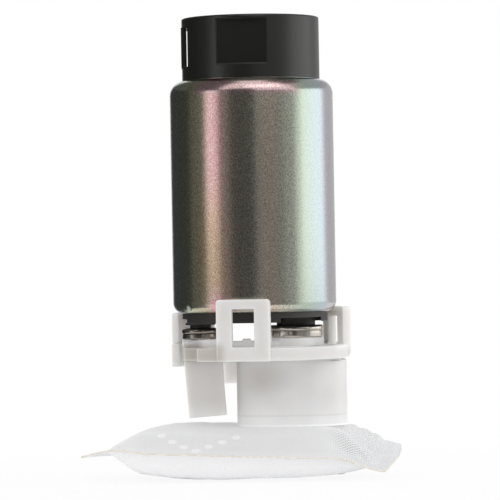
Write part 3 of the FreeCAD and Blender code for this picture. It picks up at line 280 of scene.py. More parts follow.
# %% [markdown]
# ## Lights and cards
# A shiny tube shows its surroundings as upright stripes. In the picture there is a narrow
# bright stripe on the left, a broad one on the right, and dark or grey stripes between
# them. A narrow soft box on the left and a broad one on the right draw the bright stripes,
# and a third lamp, low on the right, lifts the foot of the broad one.
# Cards round the pump draw the dark stripes. Real cards would also take light from the white
# pieces, so these glow with a shade of their own and only reflections see them. One card,
# over the front, is brighter than white: the rounded shoulder of the tube shows it as a pale
# line. The shades and places were set until the stripes sat as in the picture.

# %% Soft boxes
studio_radius = 0.6


def round_the_pump(azimuth, distance, height):
    """A point round the pump. The camera is at azimuth 0, and its right is at 90."""
    angle = math.radians(azimuth)
    return Vector((math.sin(angle) * distance, -math.cos(angle) * distance, height))


def soft_box(name, azimuth, width, low, high, power):
    light = bpy.data.lights.new(name, "AREA")
    light.shape = "RECTANGLE"
    light.size, light.size_y = width, high - low
    light.energy = power
    lamp = bpy.data.objects.new(name, light)
    lamp.location = round_the_pump(azimuth, studio_radius, (low + high) / 2)
    lamp.rotation_euler = (math.radians(90), 0, math.radians(azimuth))
    lamp.visible_camera = False
    bpy.context.collection.objects.link(lamp)
    print(name, "at", round(azimuth), "degrees,", power, "W")


soft_box("left_box", -60, 0.09, 0.03, 0.24, 0.015)
soft_box("right_box", 94, 0.5, -0.1, 0.27, 0.38)
soft_box("right_low_box", 94, 0.5, 0.005, 0.075, 0.03)

# %% Cards
card_reach = 0.54


def card(name, start, end, shade, profile):
    """A curved card that only reflections see: a line of (distance, height) swept round the pump."""
    mesh = bmesh.new()
    verts = [mesh.verts.new(round_the_pump(start, *point)) for point in profile]
    edges = [mesh.edges.new(pair) for pair in zip(verts, verts[1:])]
    bmesh.ops.spin(mesh, geom=verts + edges, cent=(0, 0, 0), axis=(0, 0, 1),
                   angle=math.radians(end - start), steps=12)
    data = bpy.data.meshes.new(name)
    mesh.to_mesh(data)
    mesh.free()
    piece = bpy.data.objects.new(name, data)
    bpy.context.collection.objects.link(piece)
    piece.visible_camera = piece.visible_diffuse = piece.visible_shadow = False
    piece.visible_transmission = False
    paint = bpy.data.materials.new(name)
    paint.use_nodes = True
    graph = Graph(paint.node_tree)
    glow = graph.node("ShaderNodeEmission", values={"Color": (shade, shade, shade, 1), "Strength": 1.0})
    graph.node("ShaderNodeOutputMaterial", values={"Surface": glow})
    data.materials.append(paint)
    print(name, "from", start, "to", end, "degrees")


def standing(floor_reach, height):
    """The profile of a card that stands at the usual distance, with a part on the floor."""
    return [(floor_reach, MM), (card_reach, MM), (card_reach, height)]


def leaning(low, high_reach, high):
    """The profile of a card that leans in over the pump."""
    return [(card_reach, low), (high_reach, high)]


card("left_black_card", -162, -97, 0.06, standing(0.07, 0.24))
card("left_grey_card", -97, -69, 0.15, standing(0.07, 0.24))
card("front_left_card", -48, -32, 0.24, standing(0.12, 0.30))
card("front_black_card", -32, 4, 0.09, standing(0.12, 0.34))
card("grey_card", 4, 44, 0.28, standing(0.10, 0.22))
card("light_grey_card", 44, 62, 0.42, standing(0.10, 0.22))
card("right_grey_card", 122, 165, 0.65, standing(0.30, 0.25))
card("left_roof", -160, -46, 0.12, leaning(0.24, 0.2, 1.1))
card("right_roof", 64, 165, 0.50, leaning(0.25, 0.40, 0.60))
card("right_high_roof", 64, 165, 0.14, [(0.40, 0.60), (0.20, 1.1)])
card("low_card", -69, -48, 0.45, [(0.50, MM), (0.50, 0.045)])
card("bright_card", -8, 50, 1.7, [(card_reach, 0.42), (0.40, 0.72)])

# %% [markdown]
# ## Finish of the housing
# The tube is drawn steel with a zinc coat that was dipped in a chromate bath. The film is
# so thin that it shows rainbow tints, which drift from teal through gold and pink to green
# round the tube. The coat is also a little grainy. The tints are a ramp that is read by the
# angle round the axis, bent by slow noise, so that they drift as on a dipped part. The stops
# at the front were placed to sit as in the picture, and those at the back are a
# guess. Two patches differ with height: a golden one low on the left, and a pink one on the
# shoulder. A small pale press mark sits near the foot.

# %% Plated steel
press_mark = Vector((-15.3, -11.1, 39.9)) * MM
golden_tint, shoulder_tint, mark_tint = (0.60, 0.47, 0.29), (0.67, 0.47, 0.48), (0.80, 0.80, 0.78)
grain_size, cloud_size, drift_size = 0.30 * MM, 4 * MM, 30 * MM


def plated_steel():
    zinc = Finish("plated_steel")
    x, y, z = zinc.parts(zinc.place)
    turn = zinc.node("ShaderNodeMath", {"operation": "ARCTAN2"}, {0: x, 1: y * -1.0})
    drift = zinc.noise(zinc.place, drift_size, 2.0) - 0.5
    share = turn / math.tau + 0.5 + drift * 0.03
    teal, green, blue = (0.42, 0.50, 0.45), (0.45, 0.52, 0.43), (0.46, 0.53, 0.56)
    gold, olive, sand = (0.56, 0.50, 0.36), (0.48, 0.50, 0.36), (0.57, 0.48, 0.40)
    pink, lilac, grey = (0.68, 0.43, 0.43), (0.55, 0.51, 0.56), (0.50, 0.50, 0.42)
    film = zinc.node("ShaderNodeValToRGB", {"stops": [
        (0.00, teal), (0.14, gold), (0.23, pink), (0.30, teal), (0.35, olive), (0.39, gold),
        (0.412, pink), (0.43, pink), (0.452, sand), (0.49, grey), (0.53, sand), (0.56, grey),
        (0.60, green), (0.65, blue), (0.69, lilac), (0.76, green), (0.88, gold), (1.00, teal)]},
        {0: share})
    golden = z.fade(74 * MM, 54 * MM) * z.fade(40 * MM, 47 * MM) * share.fade(0.455, 0.43) \
        * share.fade(0.37, 0.40)
    film = zinc.mix(golden * 0.75, film, golden_tint)
    tube_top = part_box("housing")[1].z
    shoulder = z.fade(tube_top - 4.4 * MM, tube_top - 3.2 * MM) \
        * z.fade(tube_top - 0.5 * MM, tube_top - 1.3 * MM)
    flushed = shoulder * share.fade(0.61, 0.57) * share.fade(0.37, 0.39)
    film = zinc.mix(flushed * 0.85, film, shoulder_tint)
    grain = zinc.noise(zinc.place, grain_size, 2.0, 0.6)
    cloud = zinc.noise(zinc.place, cloud_size, 3.0)
    speckled = zinc.mix(grain.fade(0.35, 0.65), (0.0, 0.0, 0.0), (1.0, 1.0, 1.0))
    base = zinc.mix(share.fade(0.57, 0.61, 0.24, 0.08), film, speckled, "OVERLAY")
    away = zinc.node("ShaderNodeVectorMath", {"operation": "DISTANCE"},
                     {0: zinc.place, 1: press_mark}, output=1)
    mark = away.fade(0.4 * MM, 1.0 * MM, 1.0, 0.0)
    base = zinc.mix(mark * 0.8, base, mark_tint)
    dent = zinc.bump(mark * -1.0, 0.06 * MM, 1.0)
    height = grain * 0.7 + cloud * 0.3
    return zinc.surface(
        Base_Color=base, Metallic=1.0, Roughness=0.16 + grain * 0.08 + cloud * 0.04 + mark * 0.4,
        Normal=zinc.bump(height, 0.010 * MM, 0.5, dent))


# %% [markdown]
# ## Finishes of the moulded pieces
# Moulded resin is never one flat colour. The black cover came from a finely eroded mould,
# so it is matt with a fine grain. The white frame is nylon, which lets light in a few
# millimetres deep, and its edges look brighter than its thick parts.
# Light that goes right through several walls isn't traced. Two painted aids stand in for it.
# A painted shade darkens the frame high up, more on its left, most at the front left round
# the left socket under the pump, and in a soft patch on the neck where the inner parts show
# through. A painted glow lifts faces that lie in shade: the inner faces inside the ring, the
# rear tab, the foot of the neck and the right side with the right loop. Both depend only on
# the place on the frame.

# %% Moulded resins
def moulded(name, colour, rough, grain_size=0.25, grain=0.02, spread=0.15, **more):
    """A moulded plastic: a slightly clouded colour and a fine grain."""
    resin = Finish(name)
    cloud = resin.noise(resin.place, 6 * MM, 4.0)
    fine = resin.noise(resin.place, grain_size * MM, 2.0)
    darker = tuple(share * (1 - spread) for share in colour)
    return resin.surface(
        Base_Color=resin.mix(cloud.fade(0.3, 0.7), darker, colour),
        Roughness=rough - 0.04 + cloud * 0.08,
        Normal=resin.bump(fine, grain * MM, 0.5), **more)


def milky_nylon():
    nylon = Finish("milky_nylon")
    cloud = nylon.noise(nylon.place, 8 * MM, 3.0)
    fine = nylon.noise(nylon.place, 0.5 * MM, 2.0)
    x, y, z = nylon.parts(nylon.place)
    # Painted shade: the base colour is darkened high on the frame, more on its left side, most at the front
    # left round the left socket, and in a soft patch on the neck where the inner parts show through.
    raised = z.fade(11 * MM, 20 * MM)
    under_ring = z.fade(27.3 * MM, 28.3 * MM, 1.0, 0.0)
    left = x.fade(-6 * MM, 12 * MM, 1.0, 0.0) * y.fade(4 * MM, 10 * MM, 1.0, 0.1) * under_ring
    front_left = x.fade(-9 * MM, -6 * MM, 1.0, 0.0) * y.fade(-2 * MM, 4 * MM, 1.0, 0.0) \
        * z.fade(30.5 * MM, 33 * MM, 1.0, 0.0)
    away = nylon.oval_distance(nylon.place, (1.9 * MM, 0, 23.4 * MM), (0.6, 0, 1))
    depth = (1 - raised * (0.10 + left * 0.10)) * (1 - front_left * (0.36 - under_ring * 0.30))
    depth = depth * (1 - away.fade(0.5 * MM, 5.0 * MM, 0.19, 0.0)) * (1 - z.fade(26 * MM, 28.5 * MM) * 0.06)
    joint_line = z.fade(14.5 * MM, 14.8 * MM) * z.fade(15.2 * MM, 14.9 * MM) * y.fade(0, -4 * MM)
    depth = depth * (1 - joint_line * 0.09)
    tone = nylon.mix(cloud.fade(0.3, 0.7), (0.81, 0.81, 0.81), (0.85, 0.85, 0.855))
    # Painted shade: the warm colour that the darkened places are mixed towards.
    painted_shade_tint = (0.15, 0.09, 0.02)
    from_axis = (x * x + y * y) ** 0.5
    # Painted light: a weak glow lifts faces that lie in shade: the inner faces inside the ring, the rear
    # tab, the foot of the neck, and the right side with the right loop.
    inner = from_axis.fade(15.5 * MM, 13.5 * MM) * z.fade(29 * MM, 30 * MM) * 0.9
    rear = y.fade(8 * MM, 11 * MM) * z.fade(28 * MM, 26 * MM) * 0.6
    foot = z.fade(18 * MM, 11 * MM) * 0.16 + z.fade(12.9 * MM, 12.5 * MM) * 0.6
    right = x.fade(17.5 * MM, 19.5 * MM) * (0.14 + z.fade(29 * MM, 31 * MM) * 0.5)
    glow = nylon.highest(inner, rear, foot, right)
    return nylon.surface(
        Base_Color=nylon.mix(depth, painted_shade_tint, tone),
        Roughness=0.38 + cloud * 0.08, Subsurface_Weight=1.0,
        Emission_Color=nylon.mix(glow, (0.01, 0.01, 0.01), (0.25, 0.245, 0.24)),
        Emission_Strength=1.0,
        Subsurface_Radius=(2.4, 2.2, 2.0), Subsurface_Scale=MM,
        Normal=nylon.bump(fine, 0.01 * MM, 0.4))


# %% [markdown]
# ## Finishes of the metal pieces
# Each metal has its own way of being made, and that is what shows: a polished collar, a
# ground shaft, stamped sheets, drawn wire, sintered bronze. One function takes the colour,
# the roughness and the size of the grain.

# %% Metals
def metal(name, colour, rough, grain_size=0.4, grain=0.004, stretch=(1, 1, 1)):
    steel = Finish(name)
    drawn = steel.node("ShaderNodeMapping", values={"Vector": steel.place, "Scale": stretch})
    fine = steel.noise(drawn, grain_size * MM, 3.0)
    cloud = steel.noise(steel.place, 5 * MM, 2.0)
    darker = tuple(share * 0.86 for share in colour)
    return steel.surface(
        Base_Color=steel.mix(cloud.fade(0.25, 0.75), darker, colour), Metallic=1.0,
        Roughness=rough + fine * 0.06, Normal=steel.bump(fine, grain * MM, 0.5))


# %% [markdown]
# ## Finish of the filter cloth
# The sock is a fine nylon mesh. Its threads run at an angle to the bag, so the weave is two
# sets of waves across the cloth's own UV map, and the holes between the threads are a shade
# darker. The spots where the two layers were pressed together with a hot point are smooth
# and a little brighter. Light and shade are painted into the cloth's colour by the way it
# faces: the steep sides are painted darker, the top lighter and the underside lightest. A weak
# glow, stronger underneath, stands in for the light that comes through the cloth.

# %% Filter cloth
thread_pitch = 0.55
thread_slant = 0.7
weld_spots = [(-21.9, 11.0), (-19.4, 9.6), (-16.8, 8.4), (-14.0, 7.5), (-11.1, 8.4), (-8.0, 9.3),
              (-4.8, 10.3), (-17.8, 3.9), (-15.3, 4.6), (-9.6, 4.1), (-6.4, 3.2)]


def filter_cloth():
    """The cloth's UV map is in millimetres along and across the bag."""
    cloth = Finish("filter_cloth")
    u, v, _ = cloth.parts(cloth.coordinates("UV"))
    along = u * (math.tau / thread_pitch)
    across = v * (math.tau / thread_pitch)
    along, across = along * thread_slant, across * thread_slant
    warp = cloth.node("ShaderNodeMath", {"operation": "SINE"}, {0: along + across})
    weft = cloth.node("ShaderNodeMath", {"operation": "SINE"}, {0: along - across})
    thread = cloth.highest(warp, weft)
    cloud = cloth.noise(cloth.place, 5 * MM, 3.0)
    lit = thread.fade(-0.4, 0.6)
    x, y, _ = cloth.parts(cloth.place)
    _, _, facing_up = cloth.parts(cloth.node("ShaderNodeNewGeometry", output="Normal"))
    open_weave = x.fade(15 * MM, 22 * MM, 0.2, 1.0) * facing_up.fade(-0.1, 0.2)
    # Painted shade and light: the cloth is painted darker where it faces sideways, lighter where it faces
    # up and lightest where it faces down.
    painted_facing_shade = cloth.mix(facing_up.fade(0.45, 0.85), (0.80, 0.80, 0.80), (0.89, 0.89, 0.895))
    painted_facing_shade = cloth.mix(facing_up.fade(0.0, -0.2), painted_facing_shade, (0.96, 0.96, 0.965))
    base = cloth.mix((1 - lit) * open_weave, painted_facing_shade, (0.36, 0.37, 0.39))
    base = cloth.mix(cloud.fade(0.3, 0.7, 0.0, 0.2), base, (0.86, 0.86, 0.87))
    spots = 0.0
    for spot_x, spot_z in weld_spots:
        away = cloth.oval_distance(cloth.place, (spot_x * MM, 0, spot_z * MM), (1, 0, 2))
        spots = away.fade(0.5 * MM, 1.3 * MM, 1.0, 0.0) + spots
    spots = spots * y.fade(-9 * MM, -8 * MM, 1.0, 0.0)
    base = cloth.mix(spots, base, (0.97, 0.97, 0.975))
    return cloth.surface(
        Base_Color=base, Roughness=0.72, Sheen_Weight=0.2, Subsurface_Weight=0.3,
        Subsurface_Radius=(3, 3, 3), Subsurface_Scale=MM,
        # Painted light: the glow is twice as strong where the cloth faces down.
        Emission_Color=cloth.mix(facing_up.fade(0.0, -0.2), (0.07, 0.07, 0.072), (0.14, 0.14, 0.144)),
        Emission_Strength=1.0,
        Normal=cloth.bump((thread + cloud * 0.5) * (1 - spots), 0.04 * MM, 0.5,
                          cloth.bump(spots, 0.10 * MM, 1.0)))


def cut_edge():
    edge = Finish("cut_edge")
    char = edge.noise(edge.place, 1.2 * MM, 3.0)
    return edge.surface(
        Base_Color=edge.mix(char.fade(0.35, 0.65), tint(238, 229, 215), tint(247, 243, 236)),
        Roughness=0.6, Normal=edge.bump(char, 0.05 * MM, 0.5))


# %% [markdown]
# ## Helpers for meshes
# Three kinds of shape cover the visible pieces. Turned shapes are an outline spun round an
# axis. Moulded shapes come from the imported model, but their edges are knife sharp there, so
# a merged copy gets a small bevel. Where a bevel would fold over itself, the edge stays
# sharp. The soft sock is made on its own further down.

# %% Mesh helpers
sharp_angle = math.radians(32)
merge_distance = 0.001 * MM


def new_piece(name, mesh, material, body, replaced):
    """Makes a bmesh a piece that rides on a body and stands for a CAD node."""
    data = bpy.data.meshes.new(name)
    mesh.to_mesh(data)
    mesh.free()
    for finish in material if isinstance(material, list) else [material]:
        data.materials.append(finish)
    data.shade_smooth()
    piece = bpy.data.objects.new(name, data)
    bpy.context.collection.objects.link(piece)
    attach(piece, body)
    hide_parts(replaced)
    print(name, "has", len(data.polygons), "faces")
    return piece


def arc(centre, radius, start, end, steps=10):
    """Points on a circle in the outline's plane, from one angle to another in degrees."""
    return [(centre[0] + radius * math.cos(math.radians(start + (end - start) * step / steps)),
             centre[1] + radius * math.sin(math.radians(start + (end - start) * step / steps)))
            for step in range(steps + 1)]


def turned_mesh(outline, steps, centre=(0, 0)):
    """Spins a closed outline of (radius, height) points, in metres, round an upright axis."""
    mesh = bmesh.new()
    verts = [mesh.verts.new((centre[0] + radius, centre[1], height)) for radius, height in outline]
    edges = [mesh.edges.new((verts[number - 1], verts[number])) for number in range(len(verts))]
    bmesh.ops.spin(mesh, geom=verts + edges, cent=(*centre, 0), axis=(0, 0, 1),
                   angle=math.tau, steps=steps, use_merge=True)
    bmesh.ops.remove_doubles(mesh, verts=mesh.verts, dist=merge_distance)
    bmesh.ops.recalc_face_normals(mesh, faces=mesh.faces)
    return mesh


def bevelled(source, width, segments, skipped):
    """A copy of a mesh with a bevel on all sharp edges but the skipped ones."""
    mesh = source.copy()
    edges = [edge for edge in mesh.edges
             if edge.calc_face_angle(0) > sharp_angle and edge.index not in skipped]
    bmesh.ops.bevel(mesh, geom=edges, offset=width, offset_type="OFFSET", affect="EDGES",
                    segments=segments, profile=0.5, material=-1, clamp_overlap=False)
    return mesh


def stray_points(mesh, surface, width):
    """The corners of all triangles that leave the old surface by more than a bevel can."""
    trial = mesh.copy()
    bmesh.ops.triangulate(trial, faces=trial.faces)
    stray = []
    for face in trial.faces:
        points = [vert.co.copy() for vert in face.verts]
        points_to_try = points + [face.calc_center_median()]
        if any(surface.find_nearest(point)[3] > 0.8 * width for point in points_to_try):
            stray += points
    trial.free()
    return stray


def close_edges(mesh, points, reach):
    """The indices of the edges that pass near any of the points."""
    finder = KDTree(len(points))
    for number, point in enumerate(points):
        finder.insert(point, number)
    finder.balance()
    close = set()
    for edge in mesh.edges:
        if edge.calc_face_angle(0) <= sharp_angle:
            continue
        first, last = (vert.co for vert in edge.verts)
        steps = max(1, int(edge.calc_length() / (2 * reach)))
        if any(finder.find(first.lerp(last, step / steps))[2] < reach for step in range(steps + 1)):
            close.add(edge.index)
    return close


def softened(node, material, width, segments=3, adjust=None):
    """A merged copy of a CAD node whose sharp edges get a small bevel."""
    source = bmesh.new()
    source.from_mesh(nodes[node].data)
    bmesh.ops.remove_doubles(source, verts=source.verts, dist=merge_distance)
    bmesh.ops.dissolve_limit(source, angle_limit=math.radians(0.5), verts=source.verts,
                             edges=source.edges, delimit={"NORMAL"})
    source.edges.index_update()
    if adjust:
        adjust(source)
    surface = BVHTree.FromBMesh(source)
    skipped = set()
    mesh = bevelled(source, width * MM, segments, skipped)
    for attempt in range(5):
        stray = stray_points(mesh, surface, width * MM)
        if not stray:
            break
        skipped |= close_edges(source, stray, 1.1 * width * MM)
        mesh.free()
        mesh = bevelled(source, width * MM, segments, skipped)
    source.free()
    piece = new_piece(node + "_soft", mesh, material, "pump_body", node)
    custom = piece.data.attributes.get("custom_normal")
    if custom:
        piece.data.attributes.remove(custom)
    piece.data.set_sharp_from_angle(angle=sharp_angle)
    weighted = piece.modifiers.new("normals", "WEIGHTED_NORMAL")
    weighted.keep_sharp = True
    print(node, "keeps", len(skipped), "edges sharp")


# %% [markdown]
# ## Housing
# The tube is drawn from sheet, then its two ends are rolled in over the covers. The whole
# thing is one outline with a wall, spun round the axis: a few points and four arcs.
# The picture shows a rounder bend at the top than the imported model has, so the bend here is
# 3.4 mm and not 2.6 mm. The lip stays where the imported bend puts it, so the rounder arc runs
# on past the lip and back, inside the black cover where it can't be seen.

# %% Housing
low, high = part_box("housing")
can_radius = high.x
can_wall = 1.2 * MM
low_bend, low_turn = 2.5 * MM, 80
top_bend, packed_top_bend, top_lip = 3.4 * MM, 2.6 * MM, 0.35 * MM
low_centre = (can_radius - low_bend, low.z + low_bend)
top_centre = (can_radius - top_bend, high.z - top_bend)
lip_radius = can_radius - packed_top_bend - top_lip
print("housing goes from", round(low.z / MM, 2), "to", round(high.z / MM, 2), "mm")

outline = arc(low_centre, low_bend, -low_turn, 0)
outline += arc(top_centre, top_bend, 0, 90)
outline += [(lip_radius, high.z), (lip_radius, high.z - can_wall)]
outline += arc(top_centre, top_bend - can_wall, 90, 0)
outline += arc(low_centre, low_bend - can_wall, 0, -low_turn)
housing = new_piece("housing_tube", turned_mesh(outline, 224), plated_steel(), "pump_body",
                    "housing")
housing.data.set_sharp_from_angle(angle=math.radians(35))

# %% [markdown]
# ## Covers and frame
# These are mouldings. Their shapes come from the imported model, and a bevel of 0.12 to 0.25 mm
# gives their edges the thin line of light that a real moulding has. One level differs: the
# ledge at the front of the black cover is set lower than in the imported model.

# %% Covers and frame
black_resin = moulded("black_resin", (0.0068, 0.0070, 0.0046), 0.33, 0.22, 0.008, IOR=1.58)
dark_resin = moulded("dark_resin", (0.030, 0.028, 0.026), 0.5, 0.3, 0.012)


def lower_the_keyway(mesh):
    """The ledge under the flat at the front of the cover sits a little lower in the picture."""
    packed_level, drop = 97 * MM, 1.15 * MM
    moved = [vert for vert in mesh.verts
             if vert.co.y < -13 * MM and abs(vert.co.x) < 9 * MM
             and abs(vert.co.z - packed_level) < 0.05 * MM]
    for vert in moved:
        vert.co.z -= drop
    print("corners of the ledge:", len(moved))


softened("outlet_cover", black_resin, 0.18, adjust=lower_the_keyway)
softened("inlet_cover", dark_resin, 0.12)
softened("strainer_frame", milky_nylon(), 0.25)

# %% [markdown]
# ## Collars
# Both collars are pressed from thin bright steel. In the imported model each is a plain cup
# with a rounded edge. Here the edge becomes a rolled bead with a groove under it, which is
# the shiny ring in the picture. They are turned shapes too. The pin collar takes a darker
# copy of the collar steel: painted shade for the dark surroundings that it reflects.

# %% Collars
bright_steel = metal("bright_steel", (0.74, 0.72, 0.69), 0.10, 1.5, 0.002)
# Painted shade: the pin collar's steel is a darker copy of the collar steel, for the dark surroundings it
# reflects.
shaded_collar_steel = metal("shaded_collar_steel", (0.34, 0.31, 0.27), 0.16, 1.5, 0.002)
collar_steel = metal("collar_steel", (0.62, 0.59, 0.54), 0.12, 1.5, 0.002)
collar_foot, collar_bead, collar_lip = 0.4 * MM, 0.72 * MM, 0.6 * MM
groove_depth, groove_angle = 0.14 * MM, -55
inlet_hole, pin_hole = 4.1 * MM, 2.55 * MM


def collar(node, hole, steel):
    """A cup whose rim is rolled into a bead, with a groove under the bead."""
    low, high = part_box(node)
    centre = ((low.x + high.x) / 2, (low.y + high.y) / 2)
    radius = (high.x - low.x) / 2
    bead_centre = (radius - collar_bead, high.z - collar_bead)
    outline = [(hole + collar_lip, low.z)]
    outline += arc((radius - groove_depth - collar_foot, low.z + collar_foot), collar_foot, -90, 0, 5)
    outline += [(radius - groove_depth, bead_centre[1] - collar_bead)]
    outline += arc(bead_centre, collar_bead, groove_angle, 90, 12)
    outline += [(hole, high.z), (hole, high.z - collar_lip), (hole + collar_lip, high.z - collar_lip)]
    ring = new_piece(node + "_ring", turned_mesh(outline, 96, centre), steel,
                     "pump_body", node)
    ring.data.set_sharp_from_angle(angle=sharp_angle)


collar("inlet_collar", inlet_hole, collar_steel)
collar("pin_collar", pin_hole, shaded_collar_steel)

# %% [markdown]
# ## Filter sock
# The sock is a bag of two layers that are welded together all round, with a flat margin
# outside the weld. The neck of the frame stands on the upper layer, and the lower layer lies
# on the floor. No cloth simulation is run. A skeleton holds this bag in shape, not air: it
# has a flat top, a crease in front of it and slopes down to the weld. So each layer starts as
# a flat grid. The upper one is lofted over a row of ribs, as the cloth is stretched over the
# skeleton, and the lower one sags to the floor. The heights of the ribs were read off the
# picture at the front, and those at the back are a guess.

# %% Shape of the sock
mouth_centre = Vector((8.3, 0, 0)) * MM
mouth_radius = 7.9 * MM
sock_low, sock_high = (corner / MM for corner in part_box("sock"))
front_seam = [(-41.6, 6.2), (-39.7, 6.8), (-36.5, 7.6), (-33.4, 8.1), (-30.7, 7.9), (-25.7, 7.2),
              (-17.9, 6.8), (-1.6, 6.1), (8.4, 5.7), (18, 5.4), (20.9, 4.6), (23.2, 3.8),
              (25.4, 3.0), (27.7, 2.4), (29.5, 2.4)]
rear_seam = [(-41.6, 4.3), (-30, 5.0), (15, 5.6), (26, 6.6), (31, 6.9), (34.4, 5.9)]
rib_places = (-14.0, -11.2, 0.0, 11.2, 14.0)
ribs = [
    (-34.5, (7.6, 7.5, 6.6, 5.6, 5.2)), (-32.0, (9.0, 9.0, 8.2, 7.0, 6.0)),
    (-28.8, (10.6, 10.7, 10.2, 9.2, 8.6)), (-25.6, (11.9, 12.1, 12.0, 11.2, 10.4)),
    (-19.2, (11.8, 12.4, 13.1, 12.3, 11.5)), (-13.5, (11.5, 12.3, 13.2, 12.4, 11.5)),
    (-5.0, (11.1, 12.4, 12.7, 12.4, 11.3)), (3.0, (10.7, 12.4, 12.4, 12.4, 11.2)),
    (13.6, (9.8, 12.3, 12.4, 12.4, 11.0)), (17.4, (8.7, 12.2, 12.4, 12.4, 11.0)),
    (20.6, (6.0, 10.2, 11.8, 11.9, 10.9)), (24.0, (4.7, 6.2, 9.9, 11.1, 10.5)),
    (28.0, (3.5, 4.5, 7.4, 9.1, 9.0)), (31.5, (2.9, 3.6, 5.5, 7.0, 7.5))]
keel = [(-35, 6.6), (-31.6, 4.7), (-28.2, 1.9), (-21, 0.7), (-13.5, 0.0), (9.4, 0.0),
        (18.6, 0.6), (23, 1.6), (28, 3.0)]
front_right_x, rear_right_x = 29.0, 34.4
left_margin, margin = 5.6, 2.8
cloth_gap = 0.2
cloth_thickness = 0.22 * MM
under_neck_x, under_neck_y = 12.2, 10.4
lowest_cloth = 0.03


def between(stations, x):
    """The height at x, on a line of (x, height) stations."""
    for (x0, z0), (x1, z1) in zip(stations, stations[1:]):
        if x <= x1:
            share = max(0.0, (x - x0) / (x1 - x0))
            return z0 + (z1 - z0) * share
    return stations[-1][1]


def ease(share):
    share = min(max(share, 0.0), 1.0)
    return share * share * (3 - 2 * share)


def round_over(share):
    """A quarter of an ellipse: steep at first, then level."""
    share = min(max(share, 0.0), 1.0)
    return math.sqrt(1 - (1 - share) ** 2)


def loft(x, y, front_weld, rear_weld):
    """The height of the upper layer, on lines from weld to weld over the ribs."""
    heights = [0.0] * len(rib_places)
    for shift in (-1.6, -0.8, 0.0, 0.8, 1.6):
        for number in range(len(rib_places)):
            line = [(station, rib[number]) for station, rib in ribs]
            heights[number] += between(line, x + shift) / 5
    reach = sock_high.y - margin
    line = [(-reach, front_weld), *zip(rib_places, heights), (reach, rear_weld)]
    return sum(between(line, y + shift) for shift in (-0.6, -0.2, 0.2, 0.6)) / 4


def sock_point(a, b, upper):
    """Where a point of the flat cloth ends up, in millimetres. a goes to the right, b to the rear."""
    left = sock_low.x + 1.6 * (1 - b)
    right = front_right_x + (rear_right_x - front_right_x) * math.sin(b * math.pi / 2)
    x = left + (right - left) * a
    depth = sock_high.y - sock_low.y
    y = sock_low.y + depth * b
    seam = between(front_seam, x) * (1 - b) + between(rear_seam, x) * b
    from_left = max(x - left - left_margin, 0)
    from_right = max(right - margin * (1 - 0.3 * b) - x, 0)
    from_front = max(depth * b - margin, 0)
    from_rear = max(depth * (1 - b) - margin, 0)
    if upper:
        weld = seam + cloth_gap
        height = loft(x, y, weld, weld)
        hold = min(from_left / 1.5, 1) * ease(from_right / 3.0)
        if min(from_front, from_rear) <= 0:
            hold = 0
        z = weld + max(height - weld, 0) * hold
    else:
        bottom = sum(between(keel, x + shift) for shift in (-1.2, 0, 1.2)) / 3
        bottom += 0.07 * max(-2 - y, 0) + 0.05 * max(y - 8, 0)
        drop = round_over(from_front / 2.4) * round_over(from_rear / 2.4)
        drop *= round_over(from_left / 3) * round_over(from_right / 5)
        bottom = min(bottom, seam - cloth_gap)
        z = seam - cloth_gap - drop * (seam - cloth_gap - bottom)
    ripple = noise.noise(Vector((x * 0.10, y * 0.26, 3.0 if upper else 9.0)))
    fine = noise.noise(Vector((x * 0.4, y * 0.6, 5.0 if upper else 1.0)))
    inside = min(from_left, from_right, from_front, from_rear, 3.0) / 3.0
    free = ease((math.hypot(x - mouth_centre.x / MM, y) - 12) / 6)
    z += (0.30 * ripple + 0.08 * fine) * inside * free
    if upper:
        pulled = ease((x - 19) / 5) * inside
        z += 0.20 * math.sin((x * 0.81 + y * 0.59) * 2.1 + 3 * ripple) * pulled
    under_neck = abs(x - mouth_centre.x / MM) < under_neck_x and abs(y) < under_neck_y
    if upper and under_neck:
        z = min(z, sock_high.z)
    return Vector((x, y, max(z, lowest_cloth))) * MM


# %% Sock
columns, rows = 160, 96
edge_crowding = 0.6

sock_mesh = bmesh.new()
for upper in (True, False):
    made = bmesh.ops.create_grid(sock_mesh, x_segments=columns, y_segments=rows, size=0.5,
                                 calc_uvs=True)
    for vert in made["verts"]:
        b = vert.co.y + 0.5
        b -= edge_crowding * math.sin(b * math.tau) / math.tau
        vert.co = sock_point(vert.co.x + 0.5, b, upper)
    uv = sock_mesh.loops.layers.uv.verify()
    for face in {face for vert in made["verts"] for face in vert.link_faces}:
        for loop in face.loops:
            x, y, z = loop.vert.co / MM
            lean = min(max(y / 8, -1), 1) * 0.55
            loop[uv].uv = (x, y + (sock_high.z - z) * lean)
    if not upper:
        faces = list({face for vert in made["verts"] for face in vert.link_faces})
        bmesh.ops.reverse_faces(sock_mesh, faces=faces)
rim_edges = [edge for edge in sock_mesh.edges if edge.is_boundary]
rim = bmesh.ops.bridge_loops(sock_mesh, edges=rim_edges)
for face in rim["faces"]:
    face.material_index = 1


def over_mouth(point):
    return point.z > 8 * MM and (point.xy - mouth_centre.xy).length < mouth_radius


hole = [face for face in sock_mesh.faces if over_mouth(face.calc_center_median())]
bmesh.ops.delete(sock_mesh, geom=hole, context="FACES")
for vert in sock_mesh.verts:
    if vert.is_boundary:
        way = (vert.co.xy - mouth_centre.xy).normalized()
        vert.co.xy = mouth_centre.xy + way * mouth_radius
bmesh.ops.recalc_face_normals(sock_mesh, faces=sock_mesh.faces)
sock = new_piece("filter_sock", sock_mesh, [filter_cloth(), cut_edge()], "pump_body",
                 "sock")
thickness = sock.modifiers.new("cloth", "SOLIDIFY")
thickness.thickness = cloth_thickness
thickness.offset = -1

# %% [markdown]
# ## Inner pieces
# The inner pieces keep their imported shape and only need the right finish. They show when the
# pump is taken apart, and some of them show through the openings in the covers. All of them
# are a guess, because the picture shows none. The springs come in the step after this.

